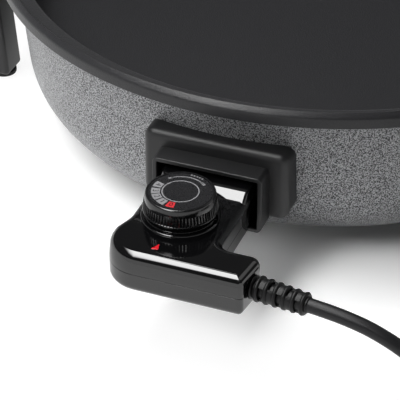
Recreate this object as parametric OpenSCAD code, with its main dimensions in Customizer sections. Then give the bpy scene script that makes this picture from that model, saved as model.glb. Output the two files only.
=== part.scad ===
// Electric skillet: a cast pan on two footed side handles, with a pull-out thermostat control
// Millimetres, +Z up, table at z = 0, control towards -Y, origin under the middle of the object

/* [Pan] */
// Outer diameter of the rim
pan_d = 400; // [392:1:420]
// Height from the bottom edge of the wall to the top of the rim
pan_h = 94; // [88:1:110]
// Clearance between the table and the bottom edge of the wall
foot_h = 18; // [14:1:30]
// Outer diameter of the wall at its bottom edge
base_d = 338; // [330:1:344]
// Outer diameter of the wall where its lower curve starts
shoulder_d = 366; // [362:1:370]
// Height of the wall's lower curve
shoulder_h = 26; // [22:1:28]
// Outer diameter of the wall under the rim
wall_top_d = 378; // [374:1:382]
// Thickness of the cast wall
wall_t = 4; // [3:0.5:5]
// Height of the band round the rim
rim_h = 10; // [8:0.5:14]
// Thickness of the lip outside the lid ledge
lip_w = 3.4; // [3.2:0.2:5]
// Rounding of the lip's outer edge
lip_round = 3; // [1:0.5:3]
// Drop from the top of the lip to the lid ledge
ledge_drop = 6; // [4:0.5:7]
// Height of the cooking surface above the bottom edge
floor_up = 37.5; // [36:0.5:42]
// Thickness of the floor
floor_t = 4; // [3:0.5:5]
// Inner corner between the floor and the wall
corner_r = 14; // [6:1:20]

/* [Heating element] */
// Diameter of the heating loop at the middle of its tube
loop_d = 200; // [160:5:230]
// Diameter of the element's tube
element_d = 6.8; // [6:0.2:8]
// Distance between the two terminal pins
pin_pitch = 25; // [23:0.5:28]
// Diameter of a terminal pin
pin_d = 4; // [3:0.5:4.5]
// Diameter of a terminal insulator
insulator_d = 10; // [9:0.5:11]

/* [Socket housing] */
// Width of the frame against the wall
frame_w = 84; // [80:1:96]
// Height of the frame
frame_h = 42; // [40:1:46]
// Height of the terminal pins above the frame's underside
frame_drop = 8; // [7:0.5:9]
// Thickness of the frame in front of the wall
frame_depth = 10.2; // [8:0.2:14]
// Rounding of the frame's corners
frame_round = 6; // [3:0.5:8]
// Outer width of the sleeve
sleeve_w = 63; // [62:0.5:66]
// Outer height of the sleeve
sleeve_h = 35; // [34:0.5:38]
// Wall of the sleeve
sleeve_t = 2.7; // [2:0.1:3]
// Reach of the sleeve in front of the frame
sleeve_reach = 12; // [10:0.5:16]
// Height of the terminal pins above the sleeve's underside
sleeve_drop = 10; // [9.5:0.5:10.5]
// Reach of the terminal pins in front of the socket plate
pin_reach = 15; // [12:0.5:16]
// Thickness of the socket plate
plate_t = 1.6; // [1:0.1:2]

/* [Control] */
// Width of the nose
nose_w = 53.6; // [53:0.2:55]
// Height of the control's body
control_h = 23; // [23:0.5:25]
// Length of the control from the nose's end to its front
control_len = 92; // [91:0.5:98]
// Width of the arm that carries the cord
arm_w = 24.3; // [24:0.1:25]
// Reach of the arm to the right of the knob
arm_reach = 50.5; // [49:0.5:60]
// Turn of the arm's end towards the front
arm_yaw = 8; // [0:1:12]
// Wall of the shells
shell_t = 2; // [1.6:0.1:2.2]
// How far the nose stands in the sleeve, plugged in as photographed
nose_in = 16; // [12:0.5:17.5]
// Height of the nose's raised end above the control's top
nose_rise = 3.6; // [2:0.2:5.4]
// Length of the nose's raised end
nose_step = 19.2; // [17:0.2:22]
// Length of the ramp down from the raised end
nose_ramp = 4.1; // [3:0.1:6]
// Length of the probe in front of the nose
probe_len = 71; // [60:1:76]
// Diameter of the probe
probe_d = 6; // [5:0.5:6.5]

/* [Knob] */
// Diameter of the knob at its bottom edge
knob_d = 40.4; // [39.6:0.2:41]
// Diameter of the knob's top
knob_top_d = 37.4; // [36:0.2:38.4]
// Height of the knob
knob_h = 10.7; // [10:0.1:13]
// Distance from the nose's end to the knob's axis
knob_back = 48.8; // [48:0.2:51]
// Place of the knob's axis to the side of the nose's middle
knob_x = -1.9; // [-3:0.1:0]
// Height of the collar under the knob
collar_h = 3.9; // [3:0.1:6]
// Number of ribs round the knob
rib_count = 72; // [48:6:84]
// Diameter of the spindle
spindle_d = 6; // [5:0.5:7]

/* [Handles] */
// Reach of each handle beyond the rim
handle_reach = 44; // [40:1:60]
// Length of each handle
handle_len = 124; // [116:2:150]
// Thickness of the grip from top to bottom
handle_t = 18; // [16:1:22]
// Width of the grip bar
grip_w = 14; // [12:1:18]
// Distance between the two legs of a handle
leg_pitch = 96; // [88:2:100]
// Diameter of a foot pad
pad_d = 16; // [14:0.5:18]
// Thickness of a foot pad
pad_t = 3; // [2:0.5:5]

/* [Cord] */
// Diameter of the cord
cord_d = 7.8; // [7:0.1:8.2]
// Length of the strain relief outside the control
relief_len = 32; // [24:1:40]
// Radius of the coil's outermost turn
coil_out_r = 51.5; // [51.5:0.5:58]
// Free space between neighbouring turns
coil_gap = 0.7; // [0.5:0.1:1]
// Diameter of the plug's face
plug_d = 37; // [36:0.5:40]
// Length of the plug's body
plug_len = 38; // [34:1:46]

/* [Hidden] */
$fn = 64;

// Clearances
seat_gap = 0.1;
fit_gap = 0.05;
run_gap = 0.08;
wall_gap = 0.3;
slide_gap = 0.4;
eps = 0.01;

// Pan heights above the bottom edge, and the wall's line
pan_r = pan_d / 2;
shoulder = [shoulder_d / 2, shoulder_h];
wall_top = [wall_top_d / 2, pan_h - rim_h];
wall_dir = unit(wall_top - shoulder);
wall_out = [wall_dir.y, -wall_dir.x];
foot_edge = [base_d / 2, 0];
curve_chord = foot_edge - shoulder;
curve_r = -(curve_chord * curve_chord) / (2 * curve_chord * wall_out);
curve_c = shoulder - curve_r * wall_out;
curve_bow = sign(curve_r);
curve_low = atan2(curve_bow * (foot_edge.y - curve_c.y), curve_bow * (foot_edge.x - curve_c.x));
curve_high = atan2(wall_out.y, wall_out.x);
floor_under = floor_up - floor_t;
ledge_up = pan_h - ledge_drop;
lip_in_r = pan_r - lip_w;
lip_chamfer = 0.4;
rim_low_round = 1;

// Heating element
loop_r = loop_d / 2;
pin_up = floor_under - element_d / 2 - seat_gap;
pin_z = foot_h + pin_up;
rib_w = 5;
bend_r = 14;
bend_x = pin_pitch / 2 + bend_r;
bend_y = sqrt(pow(loop_r + bend_r, 2) - bend_x * bend_x);
bend_angle = asin(bend_x / (loop_r + bend_r));
insulator_neck_d = 6.8;
insulator_back = wall_r(pin_up) - wall_t - 8;
guide_w = 13;
guide_lead = 4;
guide_wall = 2.5;

// Socket housing
frame_up = pin_up - frame_drop;
frame_y = wall_r(frame_up + frame_h / 2) + frame_depth;
frame_back = wall_r(frame_up) - 12;
frame_edge = 4;
sleeve_y = frame_y + sleeve_reach;
sleeve_up = pin_up - sleeve_drop;
sleeve_round = 3;
sleeve_root = 2;
plate_lap = 1.2;
plate_up = sleeve_up + sleeve_t - plate_lap;
plate_h = sleeve_h - 2 * sleeve_t + 2 * plate_lap;
plate_w = sleeve_w - 2 * sleeve_t + 2 * plate_lap;
plate_back = wall_r(plate_up + plate_h) + 0.6;
plate_y = plate_back + plate_t;
pin_tip = plate_y + pin_reach;
earth_up = 10;
socket_screw_x = (sleeve_w / 2 - sleeve_t + frame_w / 2) / 2;
socket_screw_up = frame_up + 5.5;
socket_screw_d = 4;
socket_screw_head_d = 7;
socket_screw_head_h = 2.6;
socket_pad_d = 9;
socket_pad_y = sqrt(pow(wall_r(socket_screw_up) - wall_t, 2) - pow(socket_screw_x, 2)) - 3;
socket_screw_tip = frame_y - 4;

// Control, measured from the pan's axis towards the front
nose_y = sleeve_y - nose_in;
guide_front = nose_y - probe_len - guide_lead;
control_y = nose_y + control_len;
arm_y = control_y - arm_w / 2;
knob_y = nose_y + knob_back;
control_z = foot_h + sleeve_up + sleeve_t + slide_gap;
control_top = control_z + control_h;
part_z = control_z + control_h / 2;
inner_low = control_z + shell_t;
inner_high = control_top - shell_t;
edge_round = 4;
nose_side = 1;
nose_r = nose_w / 2;
nose_round = 5;
bulge_x = 30.6;
bulge_back = 34;
bulge_full = 23;
bulge_round = 8;
neck_round = 20;
front_round = 19;
arm_end_round = [2.5, 6];
arm_root_round = 7;
arm_skew = arm_w / 2 * tan(arm_yaw);
control_points = [
    [nose_r, -nose_y, nose_round],
    [-nose_r, -nose_y, nose_round],
    [-nose_r, -control_y + bulge_back, neck_round],
    [-bulge_x, -control_y + bulge_full, bulge_round],
    [-bulge_x, -control_y, front_round],
    [arm_reach - arm_skew, -control_y, arm_end_round[0]],
    [arm_reach + arm_skew, -control_y + arm_w, arm_end_round[1]],
    [nose_r, -control_y + arm_w, arm_root_round]
];
shell_posts = [
    [nose_r - 5, -nose_y - 11],
    [-nose_r + 5, -nose_y - 11],
    [-17, -control_y + 13],
    [20, -control_y + 6]
];
post_d = 6.4;
shell_screw_d = 2.8;
shell_screw_head_d = 5.4;
shell_screw_head_h = 2;
shell_screw_len = control_h - 2 * shell_t - 3;
tube_d = 6.8;
tube_bore = pin_d + 0.6;
tube_y = nose_y + shell_t + 0.3;
tube_len = 17;
block_y = nose_y + 5;
block_len = 12;
block_w = 35.4;
block_top = part_z - 0.2;
block_mid_w = 12;
bracket_y = knob_y - 15.8;
probe_tail = bracket_y - nose_y + 3.4;
bracket_t = 1.4;
bracket_w = 22;
bracket_len = 31;
bracket_high = part_z + 4;
stack_y = knob_y + 9;
stack_len = 8;
stack_w = 10;
leaf_t = 0.5;
leaf_w = 6;
leaf_len = 22;
leaf_fixed_z = inner_low + 4;
leaf_moving_z = leaf_fixed_z + 3;
stack_top = leaf_moving_z + leaf_t + 2;
contact_d = 3.4;
contact_h = 1;
lamp_at = [-2.75, -control_y + 12];
lamp_d = 4.8;
lamp_post_h = 8;
lens_w = 4.6;
lens_len = 5.2;
lens_flange = 1;
lens_flange_t = 1;
lens_proud = 0.2;

// Knob and its seat on the upper shell
knob_r = knob_d / 2;
knob_gap = 0.4;
knob_z = control_top + collar_h + knob_gap;
knob_top = knob_z + knob_h;
knob_top_r = knob_top_d / 2;
knob_edge = 1.2;
rib_depth = 0.5;
rib_inset = 0.5;
rib_band = 5;
bead_h = 1.2;
dial_r = knob_top_r - knob_edge - 0.4;
dial_t = 0.8;
dial_sunk = 0.7;
knob_roof = 2.4;
knob_skirt_t = 2.2;
hub_d = 11;
collar_d = 35;
collar_rings = [[44, 0, 1], [39.2, 0.9, 0.7]];
spindle_low = bracket_high - bracket_t - 2;
spindle_high = knob_top - knob_roof - 0.5;

// Handles
handle_x = pan_r - 4;
handle_end = pan_r + handle_reach;
handle_mid_up = 59;
handle_z = foot_h + handle_mid_up - handle_t / 2;
root_w = 12;
arm_side = 20;
handle_round = 24;
handle_edge = 3;
finger_round = 9;
finger_in = handle_x + root_w;
finger_out = handle_end - grip_w;
finger_half = handle_len / 2 - arm_side;
boss_pitch = 60;
boss_d = 15;
boss_root = 30;
handle_screw_d = 5;
handle_screw_head_d = 9;
handle_screw_head_h = 3.5;
handle_screw_sink = 5;
handle_screw_in = 9;
leg_w = 20;
leg_foot = [handle_x - 5, handle_x + 11];
pad_x = (leg_foot[0] + leg_foot[1]) / 2;
pad_stem_d = 7;
pad_stem_h = 5;

// Cord: strain relief along the arm's end, then the free stretch, the coil and the plug
cord_r = cord_d / 2;
relief_base = [arm_reach, -arm_y, part_z];
relief_collar = 14.4;
relief_collar_len = 6;
relief_neck_d = 10;
relief_flange_d = 14;
relief_flange_t = 2;
relief_r0 = 6.8;
relief_r1 = 5.8;
relief_ribs = 6;
cord_in = 16;
clamp_in = 8;
clamp_len = 5;
clamp_t = 2.5;
clamp_post_d = 4.2;
clamp_post = cord_r + 0.2 + clamp_post_d / 2;
clamp_screw_d = 2.4;
clamp_screw_head_d = 4.4;
clamp_w = 2 * clamp_post + clamp_post_d - 0.6;
clamp_screw_head_h = 1.6;
lead_d = 2.4;

// The model stands with its box centred on the origin
pan_y = (control_y - pan_r) / 2;
relief_dir = [cos(arm_yaw), -sin(arm_yaw), 0];
cord_start = relief_base + [0, pan_y, 0] + relief_len * relief_dir;

tie_t = 1;
tie_gap = 0.4;
tie_w = 12;
tie_lift = 0.1;
coil_turns = 2.25;
coil_pitch = cord_d + coil_gap;
coil_c = [236, -188.5];
coil_z1 = tie_lift + tie_t + tie_gap + cord_r;
coil_z2 = coil_z1 + coil_pitch;
coil_rings = 24;
coil_sides = 6;
plug_r = plug_d / 2;
plug_z = plug_r + 0.3;
plug_x = coil_c.x - cord_d;
plug_boot_len = 25;
plug_boot_r0 = 5.4;
plug_boot_r1 = 7;
plug_back_r = plug_r - 7;
plug_back_up = 8;
plug_back_round = 7;
plug_waist = 20;
plug_rim = 1;
plug_earth_at = 8;
plug_earth_d = 5;
plug_earth_deep = 16;
plug_pin_d = 4.8;
plug_pin_len = 19;
plug_pin_pitch = 19;
plug_pin_root = 6;
clip_w = 7;
clip_t = 1;
clip_len = 16;
clip_sunk = 0.6;

// Route of the free stretch, from the strain relief down to the table and along it
cord_points = [
    [98, -235.8, 52.2], [106, -236.8, 51.4], [114, -237.6, 50], [122, -238.3, 47.6],
    [130, -238.8, 44.3], [138, -239.2, 40], [146, -239.5, 34.8], [154, -239.7, 29],
    [162, -239.8, 23.4], [170, -239.9, 18.2], [178, -240, 13.8], [186, -240, 10.4],
    [194, -240, 7.8], [202, -240, 6.3], [210, -240, 5.6], [218, -240, 5.4]
];
coil_start = [coil_c.x - cord_d, coil_c.y - coil_out_r, coil_z1];
cord_route = concat([cord_start, cord_start + cord_d * relief_dir], cord_points, [coil_start]);

// Plane geometry
function unit(v) = v / norm(v);
function left_of(a, b) = let (d = unit(b - a)) [-d.y, d.x];
function arc(c, r, a0, a1, n = 8) =
    [for (i = [0:n]) c + r * [cos(a0 + (a1 - a0) * i / n), sin(a0 + (a1 - a0) * i / n)]];
function flat(p) = [p.x, p.y];
function inset_corner(p, q, s, g) =
    let (n = left_of(p, q), m = left_of(q, s)) q + g * (n + m) / (1 + n * m);
function round_corner(p, q, s, r, n = 6) =
    let (u = unit(p - q), v = unit(s - q))
    let (half = acos(u * v) / 2)
    let (c = q + unit(u + v) * r / sin(half))
    let (a = q + u * r / tan(half) - c, b = q + v * r / tan(half) - c)
    let (a0 = atan2(a.y, a.x), turn = atan2(a.x * b.y - a.y * b.x, a * b))
    r <= 0 ? [q] : arc(c, r, a0, a0 + turn, n);
function convex_at(p, q, s) = cross(q - p, s - q) > 0;

// A counter-clockwise outline of [x, y, corner radius], drawn in by g, with round corners
function outline(pts, g = 0) =
    let (n = len(pts), at = [for (p = pts) flat(p)])
    let (in = [for (i = [0:n - 1]) inset_corner(at[(i + n - 1) % n], at[i], at[(i + 1) % n], g)])
    [for (i = [0:n - 1])
        let (p = in[(i + n - 1) % n], q = in[i], s = in[(i + 1) % n])
        let (r = convex_at(p, q, s) ? max(pts[i].z - g, 0) : pts[i].z + g)
        each round_corner(p, q, s, r)];
function box_points(x0, y0, x1, y1, r) =
    [[x1, y1, r], [x0, y1, r], [x0, y0, r], [x1, y0, r]];

// Pan profile, heights above the bottom edge
function wall_r(up) =
    up >= shoulder.y ? shoulder.x + (up - shoulder.y) * wall_dir.x / wall_dir.y
    : curve_c.x + curve_bow * sqrt(pow(curve_r, 2) - pow(up - curve_c.y, 2));
function inner_r(up) = wall_r(up) - wall_t / wall_out.x;
function wall_profile(g) = concat(
    arc(curve_c, curve_r + g, curve_low, curve_high, 12),
    [wall_top + g * wall_out]);
function outer_profile() = concat(
    [[0, 0]],
    wall_profile(0),
    arc([pan_r - rim_low_round, wall_top.y + rim_low_round], rim_low_round, -90, 0, 4),
    arc([pan_r - lip_round, pan_h - lip_round], lip_round, 0, 90, 8),
    [[0, pan_h]]);
floor_corner = round_corner(
    [0, floor_up], [inner_r(floor_up), floor_up], [inner_r(ledge_up), ledge_up], corner_r, 10);
floor_r = floor_corner[0].x;
function bowl_profile() = concat(
    [[0, floor_up]],
    floor_corner,
    round_corner([inner_r(floor_up), floor_up], [inner_r(ledge_up), ledge_up], [pan_r, ledge_up], 2, 4),
    round_corner([inner_r(ledge_up), ledge_up], [lip_in_r, ledge_up], [lip_in_r, pan_h], 1.5, 4),
    [[lip_in_r, pan_h - lip_chamfer], [lip_in_r + lip_chamfer, pan_h], [lip_in_r + lip_chamfer, pan_h + 1]],
    [[0, pan_h + 1]]);
function under_profile() =
    let (skirt = arc(curve_c, curve_r - wall_t, curve_low, curve_high, 12))
    concat([[0, -1], [skirt[0].x, -1]], skirt, [[inner_r(floor_under), floor_under], [0, floor_under]]);

// Coil path: in at a steady rate, up a layer round the reversal, and out again
coil_total = 2 * coil_turns;
function ease(t) = let (s = min(max(t, 0), 1)) s * s * (3 - 2 * s);
function coil_r(u) = coil_out_r - coil_pitch * min(u, coil_total - u);
function coil_up(u) =
    coil_z1 + (coil_z2 - coil_z1) * ease((u - coil_turns) * 2 + 0.5)
    + (plug_z - coil_z2) * ease((u - coil_total + 0.3) / 0.3);
function coil_at(u) = concat(coil_c + coil_r(u) * [sin(360 * u), -cos(360 * u)], coil_up(u));
coil_steps = round(coil_total * coil_rings);
coil_path = concat(
    [coil_start],
    [for (i = [0:coil_steps]) coil_at(coil_total * i / coil_steps)],
    [coil_at(coil_total) - [cord_d, 0, 0]]);
probe_steps = 60;
coil_probe = [for (i = [0:coil_total * probe_steps]) coil_at(i / probe_steps)];
coil_clear = min([
    for (i = [0:len(coil_probe) - 1], j = [i + probe_steps / 2:len(coil_probe) - 1])
        norm(coil_probe[i] - coil_probe[j])]) - cord_d;
echo(coil_least_gap = coil_clear);

// Tube swept along a path, with a flat ring at each end
function path_dir(p, i) = unit(p[min(i + 1, len(p) - 1)] - p[max(i - 1, 0)]);
function ring_at(c, d, r, sides) =
    let (side = unit(cross([0, 0, 1], d)))
    let (up = cross(d, side))
    [for (k = [0:sides - 1]) c + r * (cos(360 * k / sides) * side + sin(360 * k / sides) * up)];
module tube(path, r, sides) {
    n = len(path);
    points = [for (i = [0:n - 1]) each ring_at(path[i], path_dir(path, i), r, sides)];
    walls = [for (i = [0:n - 2], k = [0:sides - 1])
        let (a = i * sides + k, b = i * sides + (k + 1) % sides)
        each [[a, a + sides, b], [b, a + sides, b + sides]]];
    start = [for (k = [1:sides - 2]) [0, k, k + 1]];
    last = (n - 1) * sides;
    end = [for (k = [1:sides - 2]) [last, last + k + 1, last + k]];
    polyhedron(points, concat(walls, start, end));
}

// Shared shapes
module at_pan() {
    translate([0, pan_y, 0]) children();
}
module at_base() {
    translate([0, pan_y, foot_h]) children();
}
module slab(pts, z0, z1, g = 0) {
    translate([0, 0, z0]) linear_extrude(z1 - z0) polygon(outline(pts, g));
}
// A slab whose upper edge is rounded off in steps
module eased_slab(pts, z0, z1, r, steps = 4) {
    for (k = [0:steps - 1]) {
        a = 90 * (k + 0.5) / steps;
        slab(pts, z0, z1 - r + r * sin(90 * (k + 1) / steps), r * (1 - cos(a)));
    }
}
module rod_y(x, z, d, y0, y1) {
    translate([x, -y0, z]) rotate([90, 0, 0]) cylinder(d = d, h = y1 - y0);
}
module rod_x(y, z, d, x0, x1) {
    translate([x0, y, z]) rotate([0, 90, 0]) cylinder(d = d, h = x1 - x0);
}
module rod_z(x, y, d, z0, z1) {
    translate([x, y, z0]) cylinder(d = d, h = z1 - z0);
}
module box(x0, y0, z0, x1, y1, z1) {
    translate([x0, y0, z0]) cube([x1 - x0, y1 - y0, z1 - z0]);
}
module upright_slab(pts, y0, y1, r) {
    rotate([90, 0, 0]) eased_slab(pts, y0, y1, r);
}
module envelope(g) {
    rotate_extrude($fn = 128)
        polygon(concat([[0, -2], [foot_edge.x + g, -2]], wall_profile(g), [[0, wall_top.y]]));
}
module each_pin(pitch) {
    for (s = [-1, 1]) translate([s * pitch / 2, 0, 0]) children();
}

// Pan and what is fixed to it
module seat_ring() {
    difference() {
        rotate_extrude($fn = 128) difference() {
            translate([loop_r - rib_w, pin_up]) square([2 * rib_w, floor_under - pin_up + 1]);
            translate([loop_r, pin_up]) circle(d = element_d + 2 * seat_gap);
        }
        box(-bend_x, -loop_r - 2 * rib_w, pin_up - 1, bend_x, 0, floor_under);
    }
}
module probe_guide() {
    difference() {
        box(-guide_w / 2, -insulator_back - 12, pin_up - probe_d / 2 - guide_wall,
            guide_w / 2, -guide_front, floor_under + 1);
        rod_y(0, pin_up, probe_d + 2 * wall_gap, guide_front - 1, insulator_back + 13);
    }
}
module handle_bosses() {
    for (s = [-1, 1], t = [-1, 1])
        rod_x(t * boss_pitch / 2, handle_mid_up, boss_d, s > 0 ? pan_r - boss_root : -handle_x,
              s > 0 ? handle_x : -pan_r + boss_root);
}
module under_space() {
    rotate_extrude($fn = 128) polygon(under_profile());
}
module pan_wall() {
    color("dimgray") at_base() difference() {
        union() {
            rotate_extrude($fn = 128) polygon(outer_profile());
            handle_bosses();
        }
        rotate_extrude($fn = 128) polygon(bowl_profile());
        difference() {
            under_space();
            each_pin(2 * socket_screw_x)
                rod_y(0, socket_screw_up, socket_pad_d, socket_pad_y, socket_pad_y + 8);
        }
        translate([0, 0, floor_under - 1]) cylinder(r = floor_r, h = floor_t + 2, $fn = 128);
        each_pin(pin_pitch) rod_y(0, pin_up, insulator_d + 2 * wall_gap, insulator_back - 3, frame_y);
        rod_y(0, pin_up, probe_d + 2 * wall_gap, insulator_back, frame_y);
        each_pin(2 * socket_screw_x)
            rod_y(0, socket_screw_up, socket_screw_d + 2 * wall_gap, socket_pad_y - 1, frame_y);
        for (s = [-1, 1], t = [-1, 1])
            rod_x(t * boss_pitch / 2, handle_mid_up, handle_screw_d + 2 * fit_gap,
                  s > 0 ? handle_x - handle_screw_in - 1 : -handle_x - 1,
                  s > 0 ? handle_x + 1 : -handle_x + handle_screw_in + 1);
    }
}
module pan_floor() {
    color("dimgray") at_base() translate([0, 0, floor_under]) cylinder(r = floor_r, h = floor_t, $fn = 128);
}
module element_seat() {
    color("gray") at_base() intersection() {
        under_space();
        union() {
            seat_ring();
            probe_guide();
        }
    }
}
module heating_element() {
    right = concat(
        [[pin_pitch / 2, -insulator_back]],
        arc([bend_x, -bend_y], bend_r, 180, 90 + bend_angle, 8),
        arc([0, 0], loop_r, -90 + bend_angle + 4, 90, 40));
    left = [for (i = [len(right) - 2:-1:0]) [-right[i].x, right[i].y]];
    route = [for (p = concat(right, left)) [p.x, p.y, pin_up]];
    color("slategray") at_base() tube(route, element_d / 2, 12);
}
module terminal_pins() {
    color("silver") at_base() each_pin(pin_pitch) {
        rod_y(0, pin_up, pin_d, insulator_back, pin_tip - pin_d / 2);
        translate([0, -pin_tip + pin_d / 2, pin_up]) sphere(d = pin_d, $fn = 32);
    }
}
module terminal_insulators() {
    color("ivory") at_base() each_pin(pin_pitch) difference() {
        union() {
            rod_y(0, pin_up, insulator_d, insulator_back, plate_back);
            rod_y(0, pin_up, insulator_neck_d, insulator_back, plate_y + 1);
        }
        rod_y(0, pin_up, pin_d + 2 * fit_gap, insulator_back - 1, plate_y + 2);
    }
}
module earth_pin() {
    color("silver") at_base() {
        rod_y(0, pin_up + earth_up, pin_d, plate_back, pin_tip - pin_d / 2);
        translate([0, -pin_tip + pin_d / 2, pin_up + earth_up]) sphere(d = pin_d, $fn = 32);
    }
}
module socket_plate() {
    color([0.12, 0.12, 0.12]) at_base() difference() {
        box(-plate_w / 2, -plate_y, plate_up, plate_w / 2, -plate_back, plate_up + plate_h);
        each_pin(pin_pitch) rod_y(0, pin_up, insulator_neck_d + 2 * fit_gap, plate_back - 1, plate_y + 1);
        rod_y(0, pin_up, probe_d + 2 * slide_gap, plate_back - 1, plate_y + 1);
        rod_y(0, pin_up + earth_up, pin_d + 2 * fit_gap, plate_back - 1, plate_y + 1);
    }
}
module socket_housing() {
    frame = box_points(-frame_w / 2, frame_up, frame_w / 2, frame_up + frame_h, frame_round);
    sleeve = box_points(-sleeve_w / 2, sleeve_up, sleeve_w / 2, sleeve_up + sleeve_h, sleeve_round);
    color([0.13, 0.13, 0.14]) at_base() difference() {
        union() {
            upright_slab(frame, frame_back, frame_y, frame_edge);
            upright_slab(sleeve, frame_y - frame_edge - sleeve_root, sleeve_y, 0.6);
        }
        rotate([90, 0, 0]) slab(sleeve, frame_back - 1, sleeve_y + 1, sleeve_t);
        box(-plate_w / 2 - fit_gap, -plate_y, plate_up - fit_gap,
            plate_w / 2 + fit_gap, -frame_back + 1, plate_up + plate_h + fit_gap);
        envelope(wall_gap);
        each_pin(2 * socket_screw_x)
            rod_y(0, socket_screw_up, socket_screw_d + 2 * fit_gap, socket_pad_y, socket_screw_tip + 1);
    }
}
module socket_screws() {
    color("gainsboro") at_base() each_pin(2 * socket_screw_x) {
        rod_y(0, socket_screw_up, socket_screw_d, socket_pad_y - eps, socket_screw_tip);
        rod_y(0, socket_screw_up, socket_screw_head_d, socket_pad_y - socket_screw_head_h, socket_pad_y);
    }
}

// Handles with their legs
module leg() {
    profile = [
        [handle_x + root_w, handle_z + handle_t - 4, 0],
        [handle_x, handle_z + handle_t - 4, 0],
        [handle_x, handle_z - 8, 10],
        [leg_foot[0], pad_t, 2],
        [leg_foot[1], pad_t, 2],
        [handle_x + root_w, handle_z - 8, 14]
    ];
    translate([0, leg_w / 2, 0]) rotate([90, 0, 0]) linear_extrude(leg_w) polygon(outline(profile));
}
module handle() {
    outer = [[handle_end, handle_len / 2, handle_round], [handle_x, handle_len / 2, handle_edge],
             [handle_x, -handle_len / 2, handle_edge], [handle_end, -handle_len / 2, handle_round]];
    finger = box_points(finger_in, -finger_half, finger_out, finger_half, finger_round);
    difference() {
        union() {
            eased_slab(outer, handle_z + handle_t / 2, handle_z + handle_t, handle_edge);
            translate([0, 0, 2 * handle_z + handle_t]) mirror([0, 0, 1])
                eased_slab(outer, handle_z + handle_t / 2, handle_z + handle_t, handle_edge);
            for (t = [-1, 1]) translate([0, t * leg_pitch / 2, 0]) leg();
        }
        slab(finger, handle_z - 1, handle_z + handle_t + 1);
        for (t = [-1, 1]) {
            rod_x(t * boss_pitch / 2, foot_h + handle_mid_up, handle_screw_d + 2 * fit_gap,
                  handle_x - 1, finger_in + 1);
            rod_x(t * boss_pitch / 2, foot_h + handle_mid_up, handle_screw_head_d + 2 * slide_gap,
                  finger_in - handle_screw_sink, finger_in + 1);
            rod_z(pad_x, t * leg_pitch / 2, pad_stem_d + 2 * fit_gap, pad_t - 1, pad_t + pad_stem_h);
        }
    }
}
module right_handle() {
    color([0.1, 0.1, 0.1]) at_pan() handle();
}
module left_handle() {
    color([0.1, 0.1, 0.1]) at_pan() mirror([1, 0, 0]) handle();
}
module handle_screws() {
    seat = finger_in - handle_screw_sink;
    up = foot_h + handle_mid_up;
    color("gainsboro") at_pan() for (s = [0, 1], t = [-1, 1]) mirror([s, 0, 0]) {
        rod_x(t * boss_pitch / 2, up, handle_screw_d, handle_x - handle_screw_in, seat + eps);
        rod_x(t * boss_pitch / 2, up, handle_screw_head_d, seat, seat + handle_screw_head_h);
    }
}
module foot_pads() {
    color("black") at_pan() for (s = [0, 1], t = [-1, 1]) mirror([s, 0, 0])
        translate([pad_x, t * leg_pitch / 2, 0]) {
            cylinder(d = pad_d, h = pad_t);
            cylinder(d = pad_stem_d, h = pad_t + pad_stem_h - 0.5);
        }
}

// Control: shells
module relief_axis() {
    translate(relief_base) rotate([0, 0, -arm_yaw]) rotate([0, 90, 0]) children();
}
module relief_hole() {
    relief_axis() rod_z(0, 0, relief_neck_d + 2 * seat_gap, -2 * shell_t, 2 * shell_t);
}
// The clamp's two posts, each with its axis downwards from the cord's middle
module at_clamp_posts() {
    relief_axis() for (t = [-1, 1]) translate([0, t * clamp_post, -clamp_in]) rotate([0, 90, 0]) children();
}
module pin_holes() {
    each_pin(pin_pitch) rod_y(0, pin_z, pin_d + 1.2, nose_y - 1, nose_y + shell_t + 1);
    rod_y(0, pin_z, probe_d + 2 * wall_gap, nose_y - 1, nose_y + shell_t + 1);
    rod_y(0, pin_z + earth_up, pin_d + 1.2, nose_y - 1, nose_y + shell_t + 1);
}
function lens_points(g) = [
    [lamp_at.x, lamp_at.y + lens_len / 2 + 1.7 * g],
    [lamp_at.x - lens_w / 2 - 1.3 * g, lamp_at.y - lens_len / 2 - g],
    [lamp_at.x + lens_w / 2 + 1.3 * g, lamp_at.y - lens_len / 2 - g]
];
module raised_nose() {
    high = control_top + nose_rise;
    step = -nose_y - nose_step;
    foot = step - nose_ramp;
    side = [[-nose_y, inner_high], [-nose_y, high], [step, high], [foot, control_top], [foot, inner_high]];
    intersection() {
        translate([-nose_r, 0, 0]) rotate([90, 0, 90]) linear_extrude(nose_w) polygon(side);
        slab(control_points, inner_high - 1, high + 1, nose_side);
    }
}
module control_upper_shell() {
    color([0.06, 0.06, 0.07]) at_pan() difference() {
        union() {
            raised_nose();
            difference() {
                eased_slab(control_points, part_z, control_top, edge_round);
                slab(control_points, part_z - 1, inner_high, shell_t);
            }
            translate([knob_x, -knob_y, 0]) {
                translate([0, 0, inner_high]) cylinder(d = collar_d, h = shell_t + collar_h);
                for (ring = collar_rings)
                    translate([0, 0, control_top - eps + ring[1]]) cylinder(d = ring[0], h = ring[2]);
            }
            for (p = shell_posts) rod_z(p.x, p.y, post_d, part_z, inner_high + 1);
        }
        rod_z(knob_x, -knob_y, spindle_d + 2 * run_gap, inner_high - 1, control_top + collar_h + 1);
        for (p = shell_posts) rod_z(p.x, p.y, shell_screw_d + 2 * fit_gap, part_z - 1, inner_high);
        pin_holes();
        relief_hole();
        translate([0, 0, inner_high - 1]) linear_extrude(shell_t + 2) polygon(lens_points(seat_gap));
    }
}
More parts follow.
